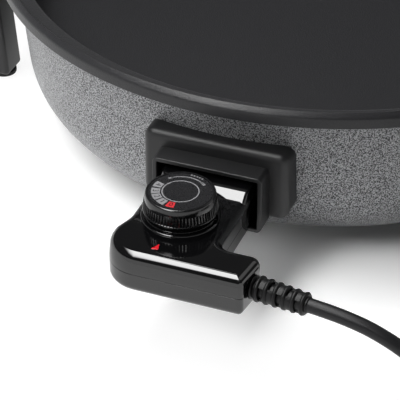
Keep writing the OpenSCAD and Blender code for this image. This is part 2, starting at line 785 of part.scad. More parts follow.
module control_lower_shell() {
    color([0.06, 0.06, 0.07]) at_pan() difference() {
        union() {
            difference() {
                translate([0, 0, part_z]) mirror([0, 0, 1])
                    eased_slab(control_points, 0, part_z - control_z, edge_round);
                slab(control_points, inner_low, part_z + 1, shell_t);
            }
            for (p = shell_posts) rod_z(p.x, p.y, post_d, inner_low - 1, part_z);
            rod_z(lamp_at.x, lamp_at.y, lamp_d + 2, inner_low - 1, inner_low + lamp_post_h);
            at_clamp_posts() rod_z(0, 0, clamp_post_d, -cord_r - seat_gap, part_z - inner_low + 1);
        }
        for (p = shell_posts) {
            rod_z(p.x, p.y, shell_screw_d + 2 * fit_gap, control_z - 1, control_top - 1);
            rod_z(p.x, p.y, shell_screw_head_d + 2 * seat_gap, control_z - 1, control_z + shell_screw_head_h);
        }
        at_clamp_posts() rod_z(0, 0, clamp_screw_d + 2 * fit_gap, -cord_r - 1, 7 - cord_r);
        pin_holes();
        relief_hole();
    }
}
module shell_screws() {
    color("gainsboro") at_pan() for (p = shell_posts) translate([p.x, p.y, control_z]) {
        cylinder(d = shell_screw_head_d, h = shell_screw_head_h);
        cylinder(d = shell_screw_d, h = shell_screw_len);
    }
}

// Control: what the shells hold
module temperature_probe() {
    color("silver") at_pan() {
        rod_y(0, pin_z, probe_d, nose_y - probe_len + probe_d / 2, nose_y + probe_tail);
        translate([0, -nose_y + probe_len - probe_d / 2, pin_z]) sphere(d = probe_d, $fn = 32);
    }
}
module contact_places() {
    for (p = [[-pin_pitch / 2, 0], [pin_pitch / 2, 0], [0, earth_up]])
        translate([p.x, 0, pin_z + p.y]) children();
}
module contact_block() {
    back = -block_y - block_len;
    color("wheat") at_pan() difference() {
        union() {
            box(-block_w / 2, back, inner_low, block_w / 2, -block_y, block_top);
            box(-block_mid_w / 2, back, inner_low, block_mid_w / 2, -block_y, inner_high - seat_gap);
        }
        contact_places() rod_y(0, 0, tube_d + 2 * fit_gap, block_y - 1, block_y + block_len + 1);
        rod_y(0, pin_z, probe_d + 2 * fit_gap, block_y - 1, block_y + block_len + 1);
    }
}
module contact_tubes() {
    color("goldenrod") at_pan() contact_places() difference() {
        rod_y(0, 0, tube_d, tube_y, tube_y + tube_len);
        rod_y(0, 0, tube_bore, tube_y - 1, tube_y + tube_len - 1);
    }
}
module thermostat_frame() {
    half = bracket_w / 2;
    front = -bracket_y - bracket_len;
    color("lightslategray") at_pan() difference() {
        union() {
            box(-half, -bracket_y - bracket_t, inner_low, half, -bracket_y, bracket_high);
            box(-half, front, inner_low, half, -bracket_y, inner_low + bracket_t);
            box(-half, front + 6, bracket_high - bracket_t, half, -bracket_y, bracket_high);
        }
        rod_y(0, pin_z, probe_d + 2 * fit_gap, bracket_y - 1, bracket_y + bracket_t + 1);
        rod_z(knob_x, -knob_y, spindle_d + 2 * run_gap, bracket_high - bracket_t - 1, bracket_high + 1);
    }
}
module leaf(z, rivet_z) {
    root = -stack_y - stack_len;
    box(-leaf_w / 2, root, z, leaf_w / 2, root + leaf_len, z + leaf_t);
    rod_z(0, root + leaf_len - contact_d / 2 - 0.5, contact_d, rivet_z, rivet_z + contact_h);
}
module fixed_contact() {
    color("peru") at_pan() leaf(leaf_fixed_z, leaf_fixed_z + leaf_t - eps);
}
module moving_contact() {
    color("peru") at_pan() leaf(leaf_moving_z, leaf_moving_z - contact_h + eps);
}
module insulator_stack() {
    color("ivory") at_pan() difference() {
        box(-stack_w / 2, -stack_y - stack_len, inner_low + bracket_t, stack_w / 2, -stack_y, stack_top);
        for (z = [leaf_fixed_z, leaf_moving_z])
            box(-leaf_w / 2 - fit_gap, -stack_y - stack_len - 1, z - fit_gap,
                leaf_w / 2 + fit_gap, -stack_y + 1, z + leaf_t + fit_gap);
    }
}
module pilot_lens() {
    color("red") at_pan() {
        translate([0, 0, inner_high - eps]) linear_extrude(shell_t + lens_proud) polygon(lens_points(0));
        translate([0, 0, inner_high - lens_flange_t])
            linear_extrude(lens_flange_t) polygon(lens_points(lens_flange));
    }
}
module pilot_lamp() {
    low = inner_low + lamp_post_h;
    color("orange") at_pan() translate([lamp_at.x, lamp_at.y, low])
        cylinder(d = lamp_d, h = inner_high - lens_flange_t - low);
}
module inner_leads() {
    from = relief_base - cord_in * relief_dir;
    side = [sin(arm_yaw), cos(arm_yaw), 0] * (lead_d + 0.4) / 2;
    into = [-4, 0, 0];
    tube_end = [pin_pitch / 2, -tube_y - tube_len, pin_z];
    stack_side = [stack_w / 2, -stack_y - stack_len / 2, stack_top - lead_d];
    color("sienna") at_pan() {
        tube([from + side, from + side + into, [24, -arm_y + 6, part_z], [17, -arm_y + 15, part_z - 1],
              tube_end + [0.6, -6, 0.5], tube_end + [0, -2, 0], tube_end], lead_d / 2, 8);
        tube([from - side, from - side + into, [22, -arm_y - 1, part_z - 0.6], stack_side + [8, -3, 0],
              stack_side + [2, 0, 0], stack_side], lead_d / 2, 8);
    }
}
module cord_end() {
    color([0.15, 0.15, 0.15]) at_pan() relief_axis() rod_z(0, 0, cord_d, -cord_in, relief_len);
}
module cord_clamp() {
    color("wheat") at_pan() relief_axis() difference() {
        translate([-cord_r - seat_gap - clamp_t, -clamp_w / 2, -clamp_in - clamp_len / 2])
            cube([clamp_t, clamp_w, clamp_len]);
        for (t = [-1, 1]) translate([-cord_r - clamp_t - 1, t * clamp_post, -clamp_in]) rotate([0, 90, 0])
            cylinder(d = clamp_screw_d + 2 * fit_gap, h = clamp_t + 2);
    }
}
module clamp_screws() {
    seat = -cord_r - seat_gap - clamp_t;
    color("gainsboro") at_pan() relief_axis() for (t = [-1, 1])
        translate([seat, t * clamp_post, -clamp_in]) rotate([0, 90, 0]) {
            translate([0, 0, -clamp_screw_head_h]) cylinder(d = clamp_screw_head_d, h = clamp_screw_head_h);
            cylinder(d = clamp_screw_d, h = clamp_t + 6);
        }
}
module strain_relief() {
    ribbed_len = relief_len - relief_collar_len;
    rib = ribbed_len / relief_ribs;
    function taper(z) = relief_r0 + (relief_r1 - relief_r0) * (z - relief_collar_len) / ribbed_len;
    groove = 0.8;
    profile = concat([[0, relief_collar_len - eps]],
        [for (i = [0:relief_ribs - 1])
            let (z = relief_collar_len + i * rib)
            each [[taper(z) - groove, z - (i == 0 ? eps : 0)], [taper(z) - groove, z + 0.3 * rib],
                  [taper(z + 0.4 * rib), z + 0.4 * rib], [taper(z + 0.9 * rib), z + 0.9 * rib],
                  [taper(z + rib) - groove, z + rib]]],
        [[0, relief_len]]);
    color([0.15, 0.15, 0.15]) at_pan() relief_axis() difference() {
        union() {
            rod_z(0, 0, relief_flange_d, -shell_t - seat_gap - relief_flange_t, -shell_t - seat_gap);
            rod_z(0, 0, relief_neck_d, -shell_t - relief_flange_t, 1);
            translate([-relief_collar / 2, -relief_collar / 2, seat_gap])
                cube([relief_collar, relief_collar, relief_collar_len - seat_gap]);
            rotate_extrude() polygon(profile);
        }
        rod_z(0, 0, cord_d + 2 * fit_gap, -10, relief_len + 10);
    }
}

// Knob
function ribbed(r) = [for (i = [0:2 * rib_count - 1])
    let (a = 180 * i / rib_count) (i % 2 == 0 ? r : r - rib_depth) * [cos(a), sin(a)]];
module knob() {
    smooth_z = knob_z + bead_h + rib_band;
    rib_r = knob_r - rib_inset;
    profile = [[0, smooth_z], [rib_r + 0.1, smooth_z], [knob_top_r, knob_top - knob_edge],
               [knob_top_r - knob_edge, knob_top], [0, knob_top]];
    color([0.1, 0.1, 0.11]) at_pan() translate([knob_x, -knob_y, 0]) difference() {
        union() {
            rotate_extrude() polygon(profile);
            translate([0, 0, knob_z + bead_h / 2]) linear_extrude(rib_band + 1) polygon(ribbed(rib_r));
            rod_z(0, 0, knob_d, knob_z, knob_z + bead_h);
        }
        difference() {
            rod_z(0, 0, 2 * (rib_r - knob_skirt_t), knob_z - 1, knob_top - knob_roof);
            rod_z(0, 0, hub_d, knob_z, knob_top);
        }
        rod_z(0, 0, spindle_d + 2 * fit_gap, knob_z - 1, spindle_high + fit_gap);
        rod_z(0, 0, 2 * (dial_r + fit_gap), knob_top - dial_sunk, knob_top + 1);
    }
}
module dial_plate() {
    low = knob_top - dial_sunk;
    color("darkslategray") at_pan() rod_z(knob_x, -knob_y, 2 * dial_r, low, low + dial_t);
}
module knob_spindle() {
    color("silver") at_pan() rod_z(knob_x, -knob_y, spindle_d, spindle_low, spindle_high);
}

// Cord, coil and plug
module cord() {
    color([0.15, 0.15, 0.15]) tube(cord_route, cord_r, 10);
}
module cord_coil() {
    color([0.15, 0.15, 0.15]) tube(coil_path, cord_r, coil_sides);
}
module cord_tie() {
    inner = coil_r(coil_turns - 0.5) - cord_r - tie_gap - 0.8;
    outer = coil_r(0.75) + cord_r + tie_gap;
    low = coil_z1 - cord_r - tie_gap;
    high = coil_z2 + cord_r + tie_gap;
    color("black") translate([coil_c.x, coil_c.y + tie_w / 2, 0]) rotate([90, 0, 0])
        linear_extrude(tie_w) difference() {
            polygon(outline(box_points(-outer - tie_t, low - tie_t, -inner + tie_t, high + tie_t, 2)));
            polygon(outline(box_points(-outer, low, -inner, high, 1)));
        }
}
module plug_axis() {
    translate([plug_x, coil_c.y + coil_out_r, plug_z]) rotate([0, -90, 0]) children();
}
module plug_body() {
    face = plug_boot_len + plug_len;
    shoulder_at = plug_boot_len + plug_waist;
    profile = concat(
        [[0, 0], [plug_boot_r0, 0], [plug_boot_r1, plug_boot_len]],
        arc([plug_back_r, plug_boot_len + plug_back_up], plug_back_round, -60, 0, 5),
        [[plug_r - plug_rim, shoulder_at], [plug_r, shoulder_at + 4 * plug_rim]],
        [[plug_r, face - plug_rim], [plug_r - plug_rim, face], [0, face]]);
    color([0.12, 0.12, 0.12]) plug_axis() difference() {
        rotate_extrude() polygon(profile);
        for (s = [-1, 1])
            rod_z(0, s * plug_pin_pitch / 2, plug_pin_d + 2 * fit_gap, face - plug_pin_root, face + 1);
        rod_z(plug_earth_at, 0, plug_earth_d, face - plug_earth_deep, face + 1);
        for (s = [0, 1]) mirror([s, 0, 0])
            box(plug_r - clip_sunk - fit_gap, -clip_w / 2 - fit_gap, face - clip_len,
                plug_r + 1, clip_w / 2 + fit_gap, face + 1);
    }
}
module plug_pins() {
    face = plug_boot_len + plug_len;
    color("silver") plug_axis() for (s = [-1, 1]) translate([0, s * plug_pin_pitch / 2, 0]) {
        rod_z(0, 0, plug_pin_d, face - plug_pin_root, face + plug_pin_len - plug_pin_d / 2);
        translate([0, 0, face + plug_pin_len - plug_pin_d / 2]) sphere(d = plug_pin_d, $fn = 32);
    }
}
module plug_earth_clips() {
    face = plug_boot_len + plug_len;
    inner = plug_r - clip_sunk;
    color("silver") plug_axis() for (s = [0, 1]) mirror([s, 0, 0])
        box(inner, -clip_w / 2, face - clip_len, inner + clip_t, clip_w / 2, face);
}

pan_wall();
pan_floor();
element_seat();
heating_element();
terminal_pins();
terminal_insulators();
earth_pin();
socket_plate();
socket_housing();
socket_screws();
left_handle();
right_handle();
handle_screws();
foot_pads();
control_upper_shell();
control_lower_shell();
shell_screws();
temperature_probe();
contact_block();
contact_tubes();
thermostat_frame();
fixed_contact();
moving_contact();
insulator_stack();
pilot_lens();
pilot_lamp();
inner_leads();
cord_end();
cord_clamp();
clamp_screws();
strain_relief();
knob();
dial_plate();
knob_spindle();
cord();
cord_coil();
cord_tie();
plug_body();
plug_pins();
plug_earth_clips();
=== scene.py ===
import math

import bmesh
import bpy
from mathutils import Matrix, Vector


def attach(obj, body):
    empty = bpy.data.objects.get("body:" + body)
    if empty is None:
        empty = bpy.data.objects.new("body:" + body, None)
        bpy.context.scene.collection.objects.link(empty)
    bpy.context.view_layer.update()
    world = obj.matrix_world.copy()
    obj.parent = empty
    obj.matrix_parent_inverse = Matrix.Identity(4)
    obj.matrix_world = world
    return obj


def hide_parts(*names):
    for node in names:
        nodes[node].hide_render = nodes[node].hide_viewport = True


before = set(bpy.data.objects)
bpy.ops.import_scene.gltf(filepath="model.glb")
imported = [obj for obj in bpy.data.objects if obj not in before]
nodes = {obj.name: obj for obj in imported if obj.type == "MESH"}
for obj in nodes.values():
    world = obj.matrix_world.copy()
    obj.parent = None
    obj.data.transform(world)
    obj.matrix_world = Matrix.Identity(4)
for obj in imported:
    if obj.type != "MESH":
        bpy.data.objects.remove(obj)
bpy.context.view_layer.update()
scene = bpy.context.scene
scene.view_settings.view_transform = "Standard"

mm = 0.001
panAxisY = 41.4793                   # the pan's axis stands this far behind the origin
footHeight = 18                      # the pan's bottom edge above the table
controlLow, controlTop = 41.1, 64.1
partHeight = 52.6                    # where the control's two shells meet
noseY, frontY = 190.9586, 282.9586   # from the pan's axis, towards the front
knobX, knobY = -1.9, 239.7586        # the knob's axis, its Y from the pan's axis as well
armHalf = 12.15                      # half the width of the control's arm, where the cord leaves
pinHeight, pinX = 48, 12.5           # the socket's two pins
earthUp = 10                         # the earth pin stands this far above them
probeBoreR = 3.3                     # the probe's hole, midway between them
loopR = 100                          # the heating element's loop


# camera, fitted to the photo's rim, wall and sleeve
photoView = {"turn": 21.196, "tilt": 34.786, "distance": 1198.2, "aim": (-5.619, -160.493, 48),
             "lens": 198, "sensor": 36, "clip": (0.05, 40)}


def placeCamera(v):
    a, e = math.radians(v["turn"]), math.radians(v["tilt"])
    back = Vector((math.sin(a) * math.cos(e), -math.cos(a) * math.cos(e), math.sin(e)))
    data = bpy.data.cameras.new("photoCamera")
    data.sensor_width, data.lens = v["sensor"], v["lens"]
    data.clip_start, data.clip_end = v["clip"]
    camera = bpy.data.objects.new("photoCamera", data)
    camera.rotation_mode = "QUATERNION"
    camera.location = (Vector(v["aim"]) + back * v["distance"]) * mm
    camera.rotation_quaternion = (-back).to_track_quat("-Z", "Y")
    scene.collection.objects.link(camera)
    scene.camera = camera


placeCamera(photoView)
print("camera placed")


# materials
def linear(code):
    parts = [int(code[i:i + 2], 16) / 255 for i in (1, 3, 5)]
    light = [c / 12.92 if c <= 0.04045 else ((c + 0.055) / 1.055) ** 2.4 for c in parts]
    return (*light, 1.0)


def perMetre(sizeMm):
    return 1000 / sizeMm


def addNode(tree, kind, inputs=None, **settings):
    n = tree.nodes.new(kind)
    for name, value in settings.items():
        setattr(n, name, value)
    for key, value in (inputs or {}).items():
        if isinstance(value, bpy.types.NodeSocket):
            tree.links.new(value, n.inputs[key])
        else:
            n.inputs[key].default_value = value
    return n


def startMaterial(name, fixed=None):
    m = bpy.data.materials.new(name)
    m.use_nodes = True
    tree = m.node_tree
    tree.nodes.clear()
    shader = addNode(tree, "ShaderNodeBsdfPrincipled", fixed)
    addNode(tree, "ShaderNodeOutputMaterial", {"Surface": shader.outputs["BSDF"]})
    place = addNode(tree, "ShaderNodeTexCoord").outputs["Object"]
    return m, tree, shader, place


# colour, roughness and bump of a surface, all from one or two noise fields
def dressShader(tree, shader, toneBy, grain, look):
    tone = addNode(tree, "ShaderNodeMix",
                   {0: toneBy, 6: linear(look["dark"]), 7: linear(look["pale"])}, data_type="RGBA")
    gloss = addNode(tree, "ShaderNodeMapRange",
                    {"Value": grain, "To Min": look["rough"][0], "To Max": look["rough"][1]})
    bump = addNode(tree, "ShaderNodeBump",
                   {"Height": grain, "Strength": look["bump"], "Distance": look["depth"] * mm})
    tree.links.new(tone.outputs[2], shader.inputs["Base Color"])
    tree.links.new(gloss.outputs[0], shader.inputs["Roughness"])
    tree.links.new(bump.outputs[0], shader.inputs["Normal"])


# Hammer-finish silver enamel, sprayed on cast aluminium: flecks and dimples, with painted shade in
# the dimples
hammerLook = {"metal": 0.4, "fleck": 0.65, "fleckSpan": (0.46, 0.54), "dimple": 1.0,
              "dimpleSpan": (0.1, 0.6), "dimpleShare": 0.25, "dark": "#030405", "pale": "#b5b6b8",
              "rough": (0.3, 0.45), "bump": 0.9, "depth": 0.3}


def makeHammertone(look):
    m, t, shader, place = startMaterial("hammertoneEnamel", {"Metallic": look["metal"]})
    fleck = addNode(t, "ShaderNodeTexNoise",
                    {"Vector": place, "Scale": perMetre(look["fleck"]), "Detail": 0.5})
    cell = addNode(t, "ShaderNodeTexVoronoi",
                   {"Vector": place, "Scale": perMetre(look["dimple"])}, feature="SMOOTH_F1")
    (lowFleck, highFleck), (lowPit, highPit) = look["fleckSpan"], look["dimpleSpan"]
    spread = addNode(t, "ShaderNodeMapRange",
                     {"Value": fleck.outputs["Fac"], "From Min": lowFleck, "From Max": highFleck})
    pit = addNode(t, "ShaderNodeMapRange",
                  {"Value": cell.outputs["Distance"], "From Min": lowPit, "From Max": highPit})
    # the colour darkens wherever the bump is low: painted shade in the dimples and low flecks, over
    # the enamel's own random fleck tone
    both = addNode(t, "ShaderNodeMix",
                   {0: look["dimpleShare"], 2: spread.outputs[0], 3: pit.outputs[0]}).outputs[0]
    dressShader(t, shader, both, both, look)
    return m


# Dark grey non-stick coating, sprayed and baked: satin, with a fine grit drawn coarser than it is
nonStickLook = {"grit": 0.9, "dark": "#1a1a1c", "pale": "#2d2d2f", "rough": (0.3, 0.4), "bump": 0.8,
                "depth": 0.2}


def makeNonStick(look):
    m, t, shader, place = startMaterial("nonStickCoating", {"IOR": 1.45})
    grit = addNode(t, "ShaderNodeTexNoise",
                   {"Vector": place, "Scale": perMetre(look["grit"]), "Detail": 2.0}).outputs["Fac"]
    dressShader(t, shader, grit, grit, look)
    return m


# A dull or moulded surface: a soft cloud in its colour, and its grain in gloss and bump
def makeClouded(name, grainMm, grainDetail, cloudMm, look, fixed=None):
    m, t, shader, place = startMaterial(name, fixed)
    grain = addNode(t, "ShaderNodeTexNoise",
                    {"Vector": place, "Scale": perMetre(grainMm), "Detail": grainDetail})
    cloud = addNode(t, "ShaderNodeTexNoise",
                    {"Vector": place, "Scale": perMetre(cloudMm), "Detail": 2.0})
    dressShader(t, shader, cloud.outputs["Fac"], grain.outputs["Fac"], look)
    return m


# A moulded plastic: even colour with a faint cloud, and the tool's texture as a fine bump
def makeMoulded(name, dark, pale, grainMm, depthMm, rough, fixed=None):
    look = {"dark": dark, "pale": pale, "rough": rough, "bump": 0.3, "depth": depthMm}
    return makeClouded(name, grainMm, 2.0, 14, look, fixed)


# A drawn, turned or plated metal: fine lines along one axis in the gloss
def makeMetal(name, dark, pale, lineMm, along, rough):
    look = {"dark": dark, "pale": pale, "rough": rough, "bump": 0.15, "depth": 0.05}
    m, t, shader, place = startMaterial(name, {"Metallic": 1.0})
    stretch = addNode(t, "ShaderNodeMapping", {"Vector": place, "Scale": along}).outputs[0]
    line = addNode(t, "ShaderNodeTexNoise",
                   {"Vector": stretch, "Scale": perMetre(lineMm), "Detail": 3.0}).outputs["Fac"]
    dressShader(t, shader, line, line, look)
    return m


hammertone = makeHammertone(hammerLook)
nonStick = makeNonStick(nonStickLook)
# Bare sand-cast aluminium: dull, slightly mottled, grainy
castLook = {"dark": "#8c8d8f", "pale": "#a7a8aa", "rough": (0.5, 0.7), "bump": 0.4, "depth": 0.3}
castAluminium = makeClouded("castAluminium", 2, 4.0, 40, castLook, {"Metallic": 0.9})
# Phenolic, compression moulded: near black, satin, heat resistant
phenolic = makeMoulded("blackPhenolic", "#19191a", "#212122", 0.9, 0.06, (0.38, 0.48), {"IOR": 1.5})
# ABS from a polished tool: deep black with clear reflections
glossAbs = makeMoulded("glossBlackAbs", "#060607", "#0a0a0b", 8, 0.01, (0.04, 0.08), {"IOR": 1.7})
# ABS from an etched tool: dark grey and satin
satinAbs = makeMoulded("satinBlackAbs", "#101011", "#171718", 0.7, 0.02, (0.13, 0.2), {"IOR": 1.55})
# Screen-printed polycarbonate dial: fine matt black
dialFoil = makeMoulded("dialPolycarbonate", "#141416", "#1b1b1d", 0.6, 0.02, (0.24, 0.32),
                       {"IOR": 1.5})
# Screen-printing ink: pale grey and matt
greyInk = makeMoulded("paleGreyInk", "#7b7b7d", "#89898b", 0.6, 0.01, (0.45, 0.55))
# Screen-printing ink: signal red and matt
redInk = makeMoulded("redInk", "#b9141e", "#ca1d27", 0.6, 0.01, (0.4, 0.5))
# Red acrylic, injection moulded: clear and glossy, with the lamp's seat behind it
redAcrylic = makeMoulded("redAcrylic", "#d3121f", "#ee2a35", 3, 0.01, (0.06, 0.12),
                         {"IOR": 1.49, "Transmission Weight": 0.25})
# Soft PVC, extruded: charcoal with a dull sheen
cordPvc = makeMoulded("cordPvc", "#0f0f11", "#161618", 1.2, 0.05, (0.4, 0.5), {"IOR": 1.42})
# Soft PVC, moulded over the cord's end: darker and as dull
bootPvc = makeMoulded("mouldedPvc", "#0a0a0b", "#101011", 0.9, 0.05, (0.4, 0.5), {"IOR": 1.38})
# Nitrile rubber, moulded: black and matt
footRubber = makeMoulded("footRubber", "#161617", "#1e1e1f", 1, 0.08, (0.7, 0.85), {"IOR": 1.52})
# Nylon hook-and-loop tape: black, with a short rough pile
tieTape = makeMoulded("nylonTape", "#141415", "#202021", 0.6, 0.3, (0.75, 0.95),
                      {"Sheen Weight": 0.3})
# Steatite, pressed and fired: cream and chalky
steatite = makeMoulded("steatite", "#d9d0bb", "#e6dfcd", 0.8, 0.05, (0.6, 0.75), {"IOR": 1.6})
# Melamine moulding that carries the contacts: tan and satin
melamine = makeMoulded("tanMelamine", "#9c8a66", "#ab9974", 1, 0.04, (0.4, 0.5), {"IOR": 1.6})
# Braided glass sleeve on the leads: brown and rough
glassSleeve = makeMoulded("braidedSleeve", "#5a3a24", "#6d4a30", 0.7, 0.1, (0.7, 0.85))
# Zinc-plated steel: cool and a little cloudy
zincSteel = makeMetal("zincPlatedSteel", "#a9abae", "#c8cacc", 1.2, (1, 1, 1), (0.25, 0.38))
# Stainless tube, drawn: lines along the front-to-back axis
stainless = makeMetal("drawnStainless", "#a5a5a6", "#c4c4c5", 0.5, (1, 0.05, 1), (0.2, 0.32))
# Nickel-plated brass pins: bright with a warm cast
nickel = makeMetal("nickelPlating", "#b7b3aa", "#d3cfc6", 0.5, (1, 0.05, 1), (0.16, 0.26))
# Heater sheath, oxidised in use: dark blue-grey steel
sheathSteel = makeMetal("oxidisedSheath", "#4a4b4f", "#66666a", 2.5, (1, 1, 1), (0.4, 0.55))
# Brass strip, stamped: yellow, with faint rolling lines
brassStrip = makeMetal("stampedBrass", "#a9863f", "#c6a253", 0.6, (1, 0.1, 1), (0.25, 0.36))
# Neon lamp's glass, blown: warm and clear
lampGlass = makeMoulded("lampGlass", "#e0a07a", "#f0b890", 4, 0.01, (0.03, 0.06),
                        {"IOR": 1.5, "Transmission Weight": 0.8})
print("materials made")


# shapes: every number is in millimetres until a mesh is finished
sharpest = 0.05   # the least radius of a corner


# the arc that rounds off corner q between p and s
def roundCorner(p, q, s, r, n=8):
    u, v = (p - q).normalized(), (s - q).normalized()
    half = u.angle(v) / 2
    c = q + (u + v).normalized() * (r / math.sin(half))
    a, b = q + u * (r / math.tan(half)) - c, q + v * (r / math.tan(half)) - c
    start, sweep = math.atan2(a.y, a.x), math.atan2(a.x * b.y - a.y * b.x, a.dot(b))
    turns = [start + sweep * i / n for i in range(n + 1)]
    return [c + r * Vector((math.cos(t), math.sin(t))) for t in turns]


# a counter-clockwise outline of (x, y, corner radius), drawn in by inset
def outline(points, inset=0.0):
    at, moved, ring = [Vector(p[:2]) for p in points], [], []
    for i, q in enumerate(at):
        d, e = (q - at[i - 1]).normalized(), (at[(i + 1) % len(at)] - q).normalized()
        a, b = Vector((-d.y, d.x)), Vector((-e.y, e.x))
        moved.append(q + inset * (a + b) / (1 + a.dot(b)))
    for i, q in enumerate(moved):
        p, s, r = moved[i - 1], moved[(i + 1) % len(moved)], points[i][2]
        convex = (q - p).cross(s - q) > 0
        ring += roundCorner(p, q, s, max(r - inset, sharpest) if convex else r + inset)
    return ring


def boxPoints(x0, y0, x1, y1, r):
    return [(x1, y1, r), (x0, y1, r), (x0, y0, r), (x1, y0, r)]


def arcPoints(cx, cy, r, a0, a1, n):
    turns = [math.radians(a0 + (a1 - a0) * i / n) for i in range(n + 1)]
    return [(cx + r * math.cos(a), cy + r * math.sin(a)) for a in turns]


def unitCircle(steps):
    turns = [2 * math.pi * i / steps for i in range(steps)]
    return [(math.cos(a), math.sin(a)) for a in turns]


def ringAt(points, height, inset=0.0):
    return [(p.x, p.y, height) for p in outline(points, inset)]


quarterTurn = [math.pi / 2 * k / 8 for k in range(9)]


# rings of a slab whose edges are rounded off; side is -1 for the edges of a hole
def slabRings(points, low, high, lowRound=0.0, highRound=0.0, side=1):
    rings = []
    for a in reversed(quarterTurn) if lowRound else [0]:
        rise, inset = lowRound * (1 - math.sin(a)), lowRound * (1 - math.cos(a))
        rings.append(ringAt(points, low + rise, side * inset))
    for a in quarterTurn if highRound else [0]:
        drop, inset = highRound * (1 - math.sin(a)), highRound * (1 - math.cos(a))
        rings.append(ringAt(points, high - drop, side * inset))
    return rings


# skin between rings of equal count, with flat ends unless the last joins the first
def loft(bm, rings, matrix=Matrix(), joined=False):
    made = [[bm.verts.new(matrix @ Vector(p)) for p in ring] for ring in rings]
    if joined:
        made.append(made[0])
    n = len(rings[0])
    for a, b in zip(made, made[1:]):
        for i in range(n):
            bm.faces.new((a[i], a[(i + 1) % n], b[(i + 1) % n], b[i]))
    if not joined:
        bm.faces.new(list(reversed(made[0])))
        bm.faces.new(made[-1])


# a flat band round a hole, with all its edges rounded
def bandMesh(bm, outer, hole, low, high, outerRound, holeRound, matrix):
    inside = slabRings(hole, low, high, holeRound, holeRound, -1)
    loft(bm, slabRings(outer, low, high, outerRound, outerRound) + inside[::-1], matrix, True)


# turned shape from (radius, height) pairs; zones give a material index for each stretch
def lathe(bm, profile, matrix=Matrix(), steps=96, zones=None, closed=False):
    circle, rings = unitCircle(steps), []
    for r, z in profile:
        at = [(0, 0, z)] if r < 1e-6 else [(r * c, r * s, z) for c, s in circle]
        rings.append([bm.verts.new(matrix @ Vector(p)) for p in at])
    if closed:
        rings.append(rings[0])
    for k, (a, b) in enumerate(zip(rings, rings[1:])):
        for i in range(steps):
            j = (i + 1) % steps
            quad = [a[i % len(a)], a[j % len(a)], b[j % len(b)], b[i % len(b)]]
            quad = [v for m, v in enumerate(quad) if v not in quad[:m]]
            if len(quad) > 2:
                bm.faces.new(quad).material_index = zones[k] if zones else 0


def rodMesh(bm, start, end, r, steps=32):
    start, end = Vector(start), Vector(end)
    turn = (end - start).to_track_quat("Z", "Y").to_matrix().to_4x4()
    heights = (0, (end - start).length)
    ends = [[(r * c, r * s, z) for c, s in unitCircle(steps)] for z in heights]
    loft(bm, ends, Matrix.Translation(start) @ turn)


def plainObject(name, bm, materials=()):
    bmesh.ops.remove_doubles(bm, verts=bm.verts, dist=1e-5)
    bmesh.ops.recalc_face_normals(bm, faces=bm.faces)
    bmesh.ops.scale(bm, vec=(mm, mm, mm), verts=bm.verts)
    mesh = bpy.data.meshes.new(name)
    bm.to_mesh(mesh)
    bm.free()
    for m in materials:
        mesh.materials.append(m)
    obj = bpy.data.objects.new(name, mesh)
    scene.collection.objects.link(obj)
    return obj


def loftObject(name, rings, matrix, *materials):
    bm = bmesh.new()
    loft(bm, rings, matrix)
    return plainObject(name, bm, materials)


def turnedObject(name, profile, matrix, steps, *materials, **how):
    bm = bmesh.new()
    lathe(bm, profile, matrix, steps, **how)
    return plainObject(name, bm, materials)


# rods of (start, end, radius), to bore holes with
def rodsObject(name, rods, steps=32):
    bm = bmesh.new()
    for start, end, r in rods:
        rodMesh(bm, start, end, r, steps)
    return plainObject(name, bm)


# a modifier's or a node tree's result as a plain mesh
def settle(obj):
    graph = bpy.context.evaluated_depsgraph_get()
    shown = obj.evaluated_get(graph)
    mesh = bpy.data.meshes.new_from_object(shown, preserve_all_data_layers=True, depsgraph=graph)
    obj.modifiers.clear()
    old, obj.data = obj.data, mesh
    bpy.data.meshes.remove(old)


def carve(obj, tools, operation="DIFFERENCE"):
    for tool in tools:
        mod = obj.modifiers.new("carve", "BOOLEAN")
        mod.operation, mod.solver, mod.object = operation, "EXACT", tool
    settle(obj)
    for tool in tools:
        bpy.data.objects.remove(tool)


def ridePiece(obj, body, replaced=()):
    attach(obj, body)
    if replaced:
        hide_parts(*replaced)
    return obj


def finishPiece(obj, body, replaced=(), sharp=35):
    obj.data.shade_smooth()
    obj.data.set_sharp_from_angle(angle=math.radians(sharp))
    print("piece", obj.name, len(obj.data.polygons), "faces")
    return ridePiece(obj, body, replaced)


# node trees that repeat a small form
def startTree(name, inputs):
    tree = bpy.data.node_groups.new(name, "GeometryNodeTree")
    tree.interface.new_socket("Geometry", in_out="INPUT", socket_type="NodeSocketGeometry")
    for label, kind in inputs:
        tree.interface.new_socket(label, in_out="INPUT", socket_type="NodeSocket" + kind)
    tree.interface.new_socket("Geometry", in_out="OUTPUT", socket_type="NodeSocketGeometry")
    return tree, addNode(tree, "NodeGroupInput").outputs


def endTree(tree, geometry, material):
    real = addNode(tree, "GeometryNodeRealizeInstances", {0: geometry})
    coat = addNode(tree, "GeometryNodeSetMaterial",
                   {"Geometry": real.outputs[0], "Material": material})
    addNode(tree, "NodeGroupOutput", {0: coat.outputs[0]})
    return tree


def runTree(obj, tree, values):
    mod = obj.modifiers.new(tree.name, "NODES")
    mod.node_group = tree
    for item in tree.interface.items_tree:
        if item.in_out == "INPUT" and item.name in values:
            mod[item.identifier] = values[item.name]
    settle(obj)


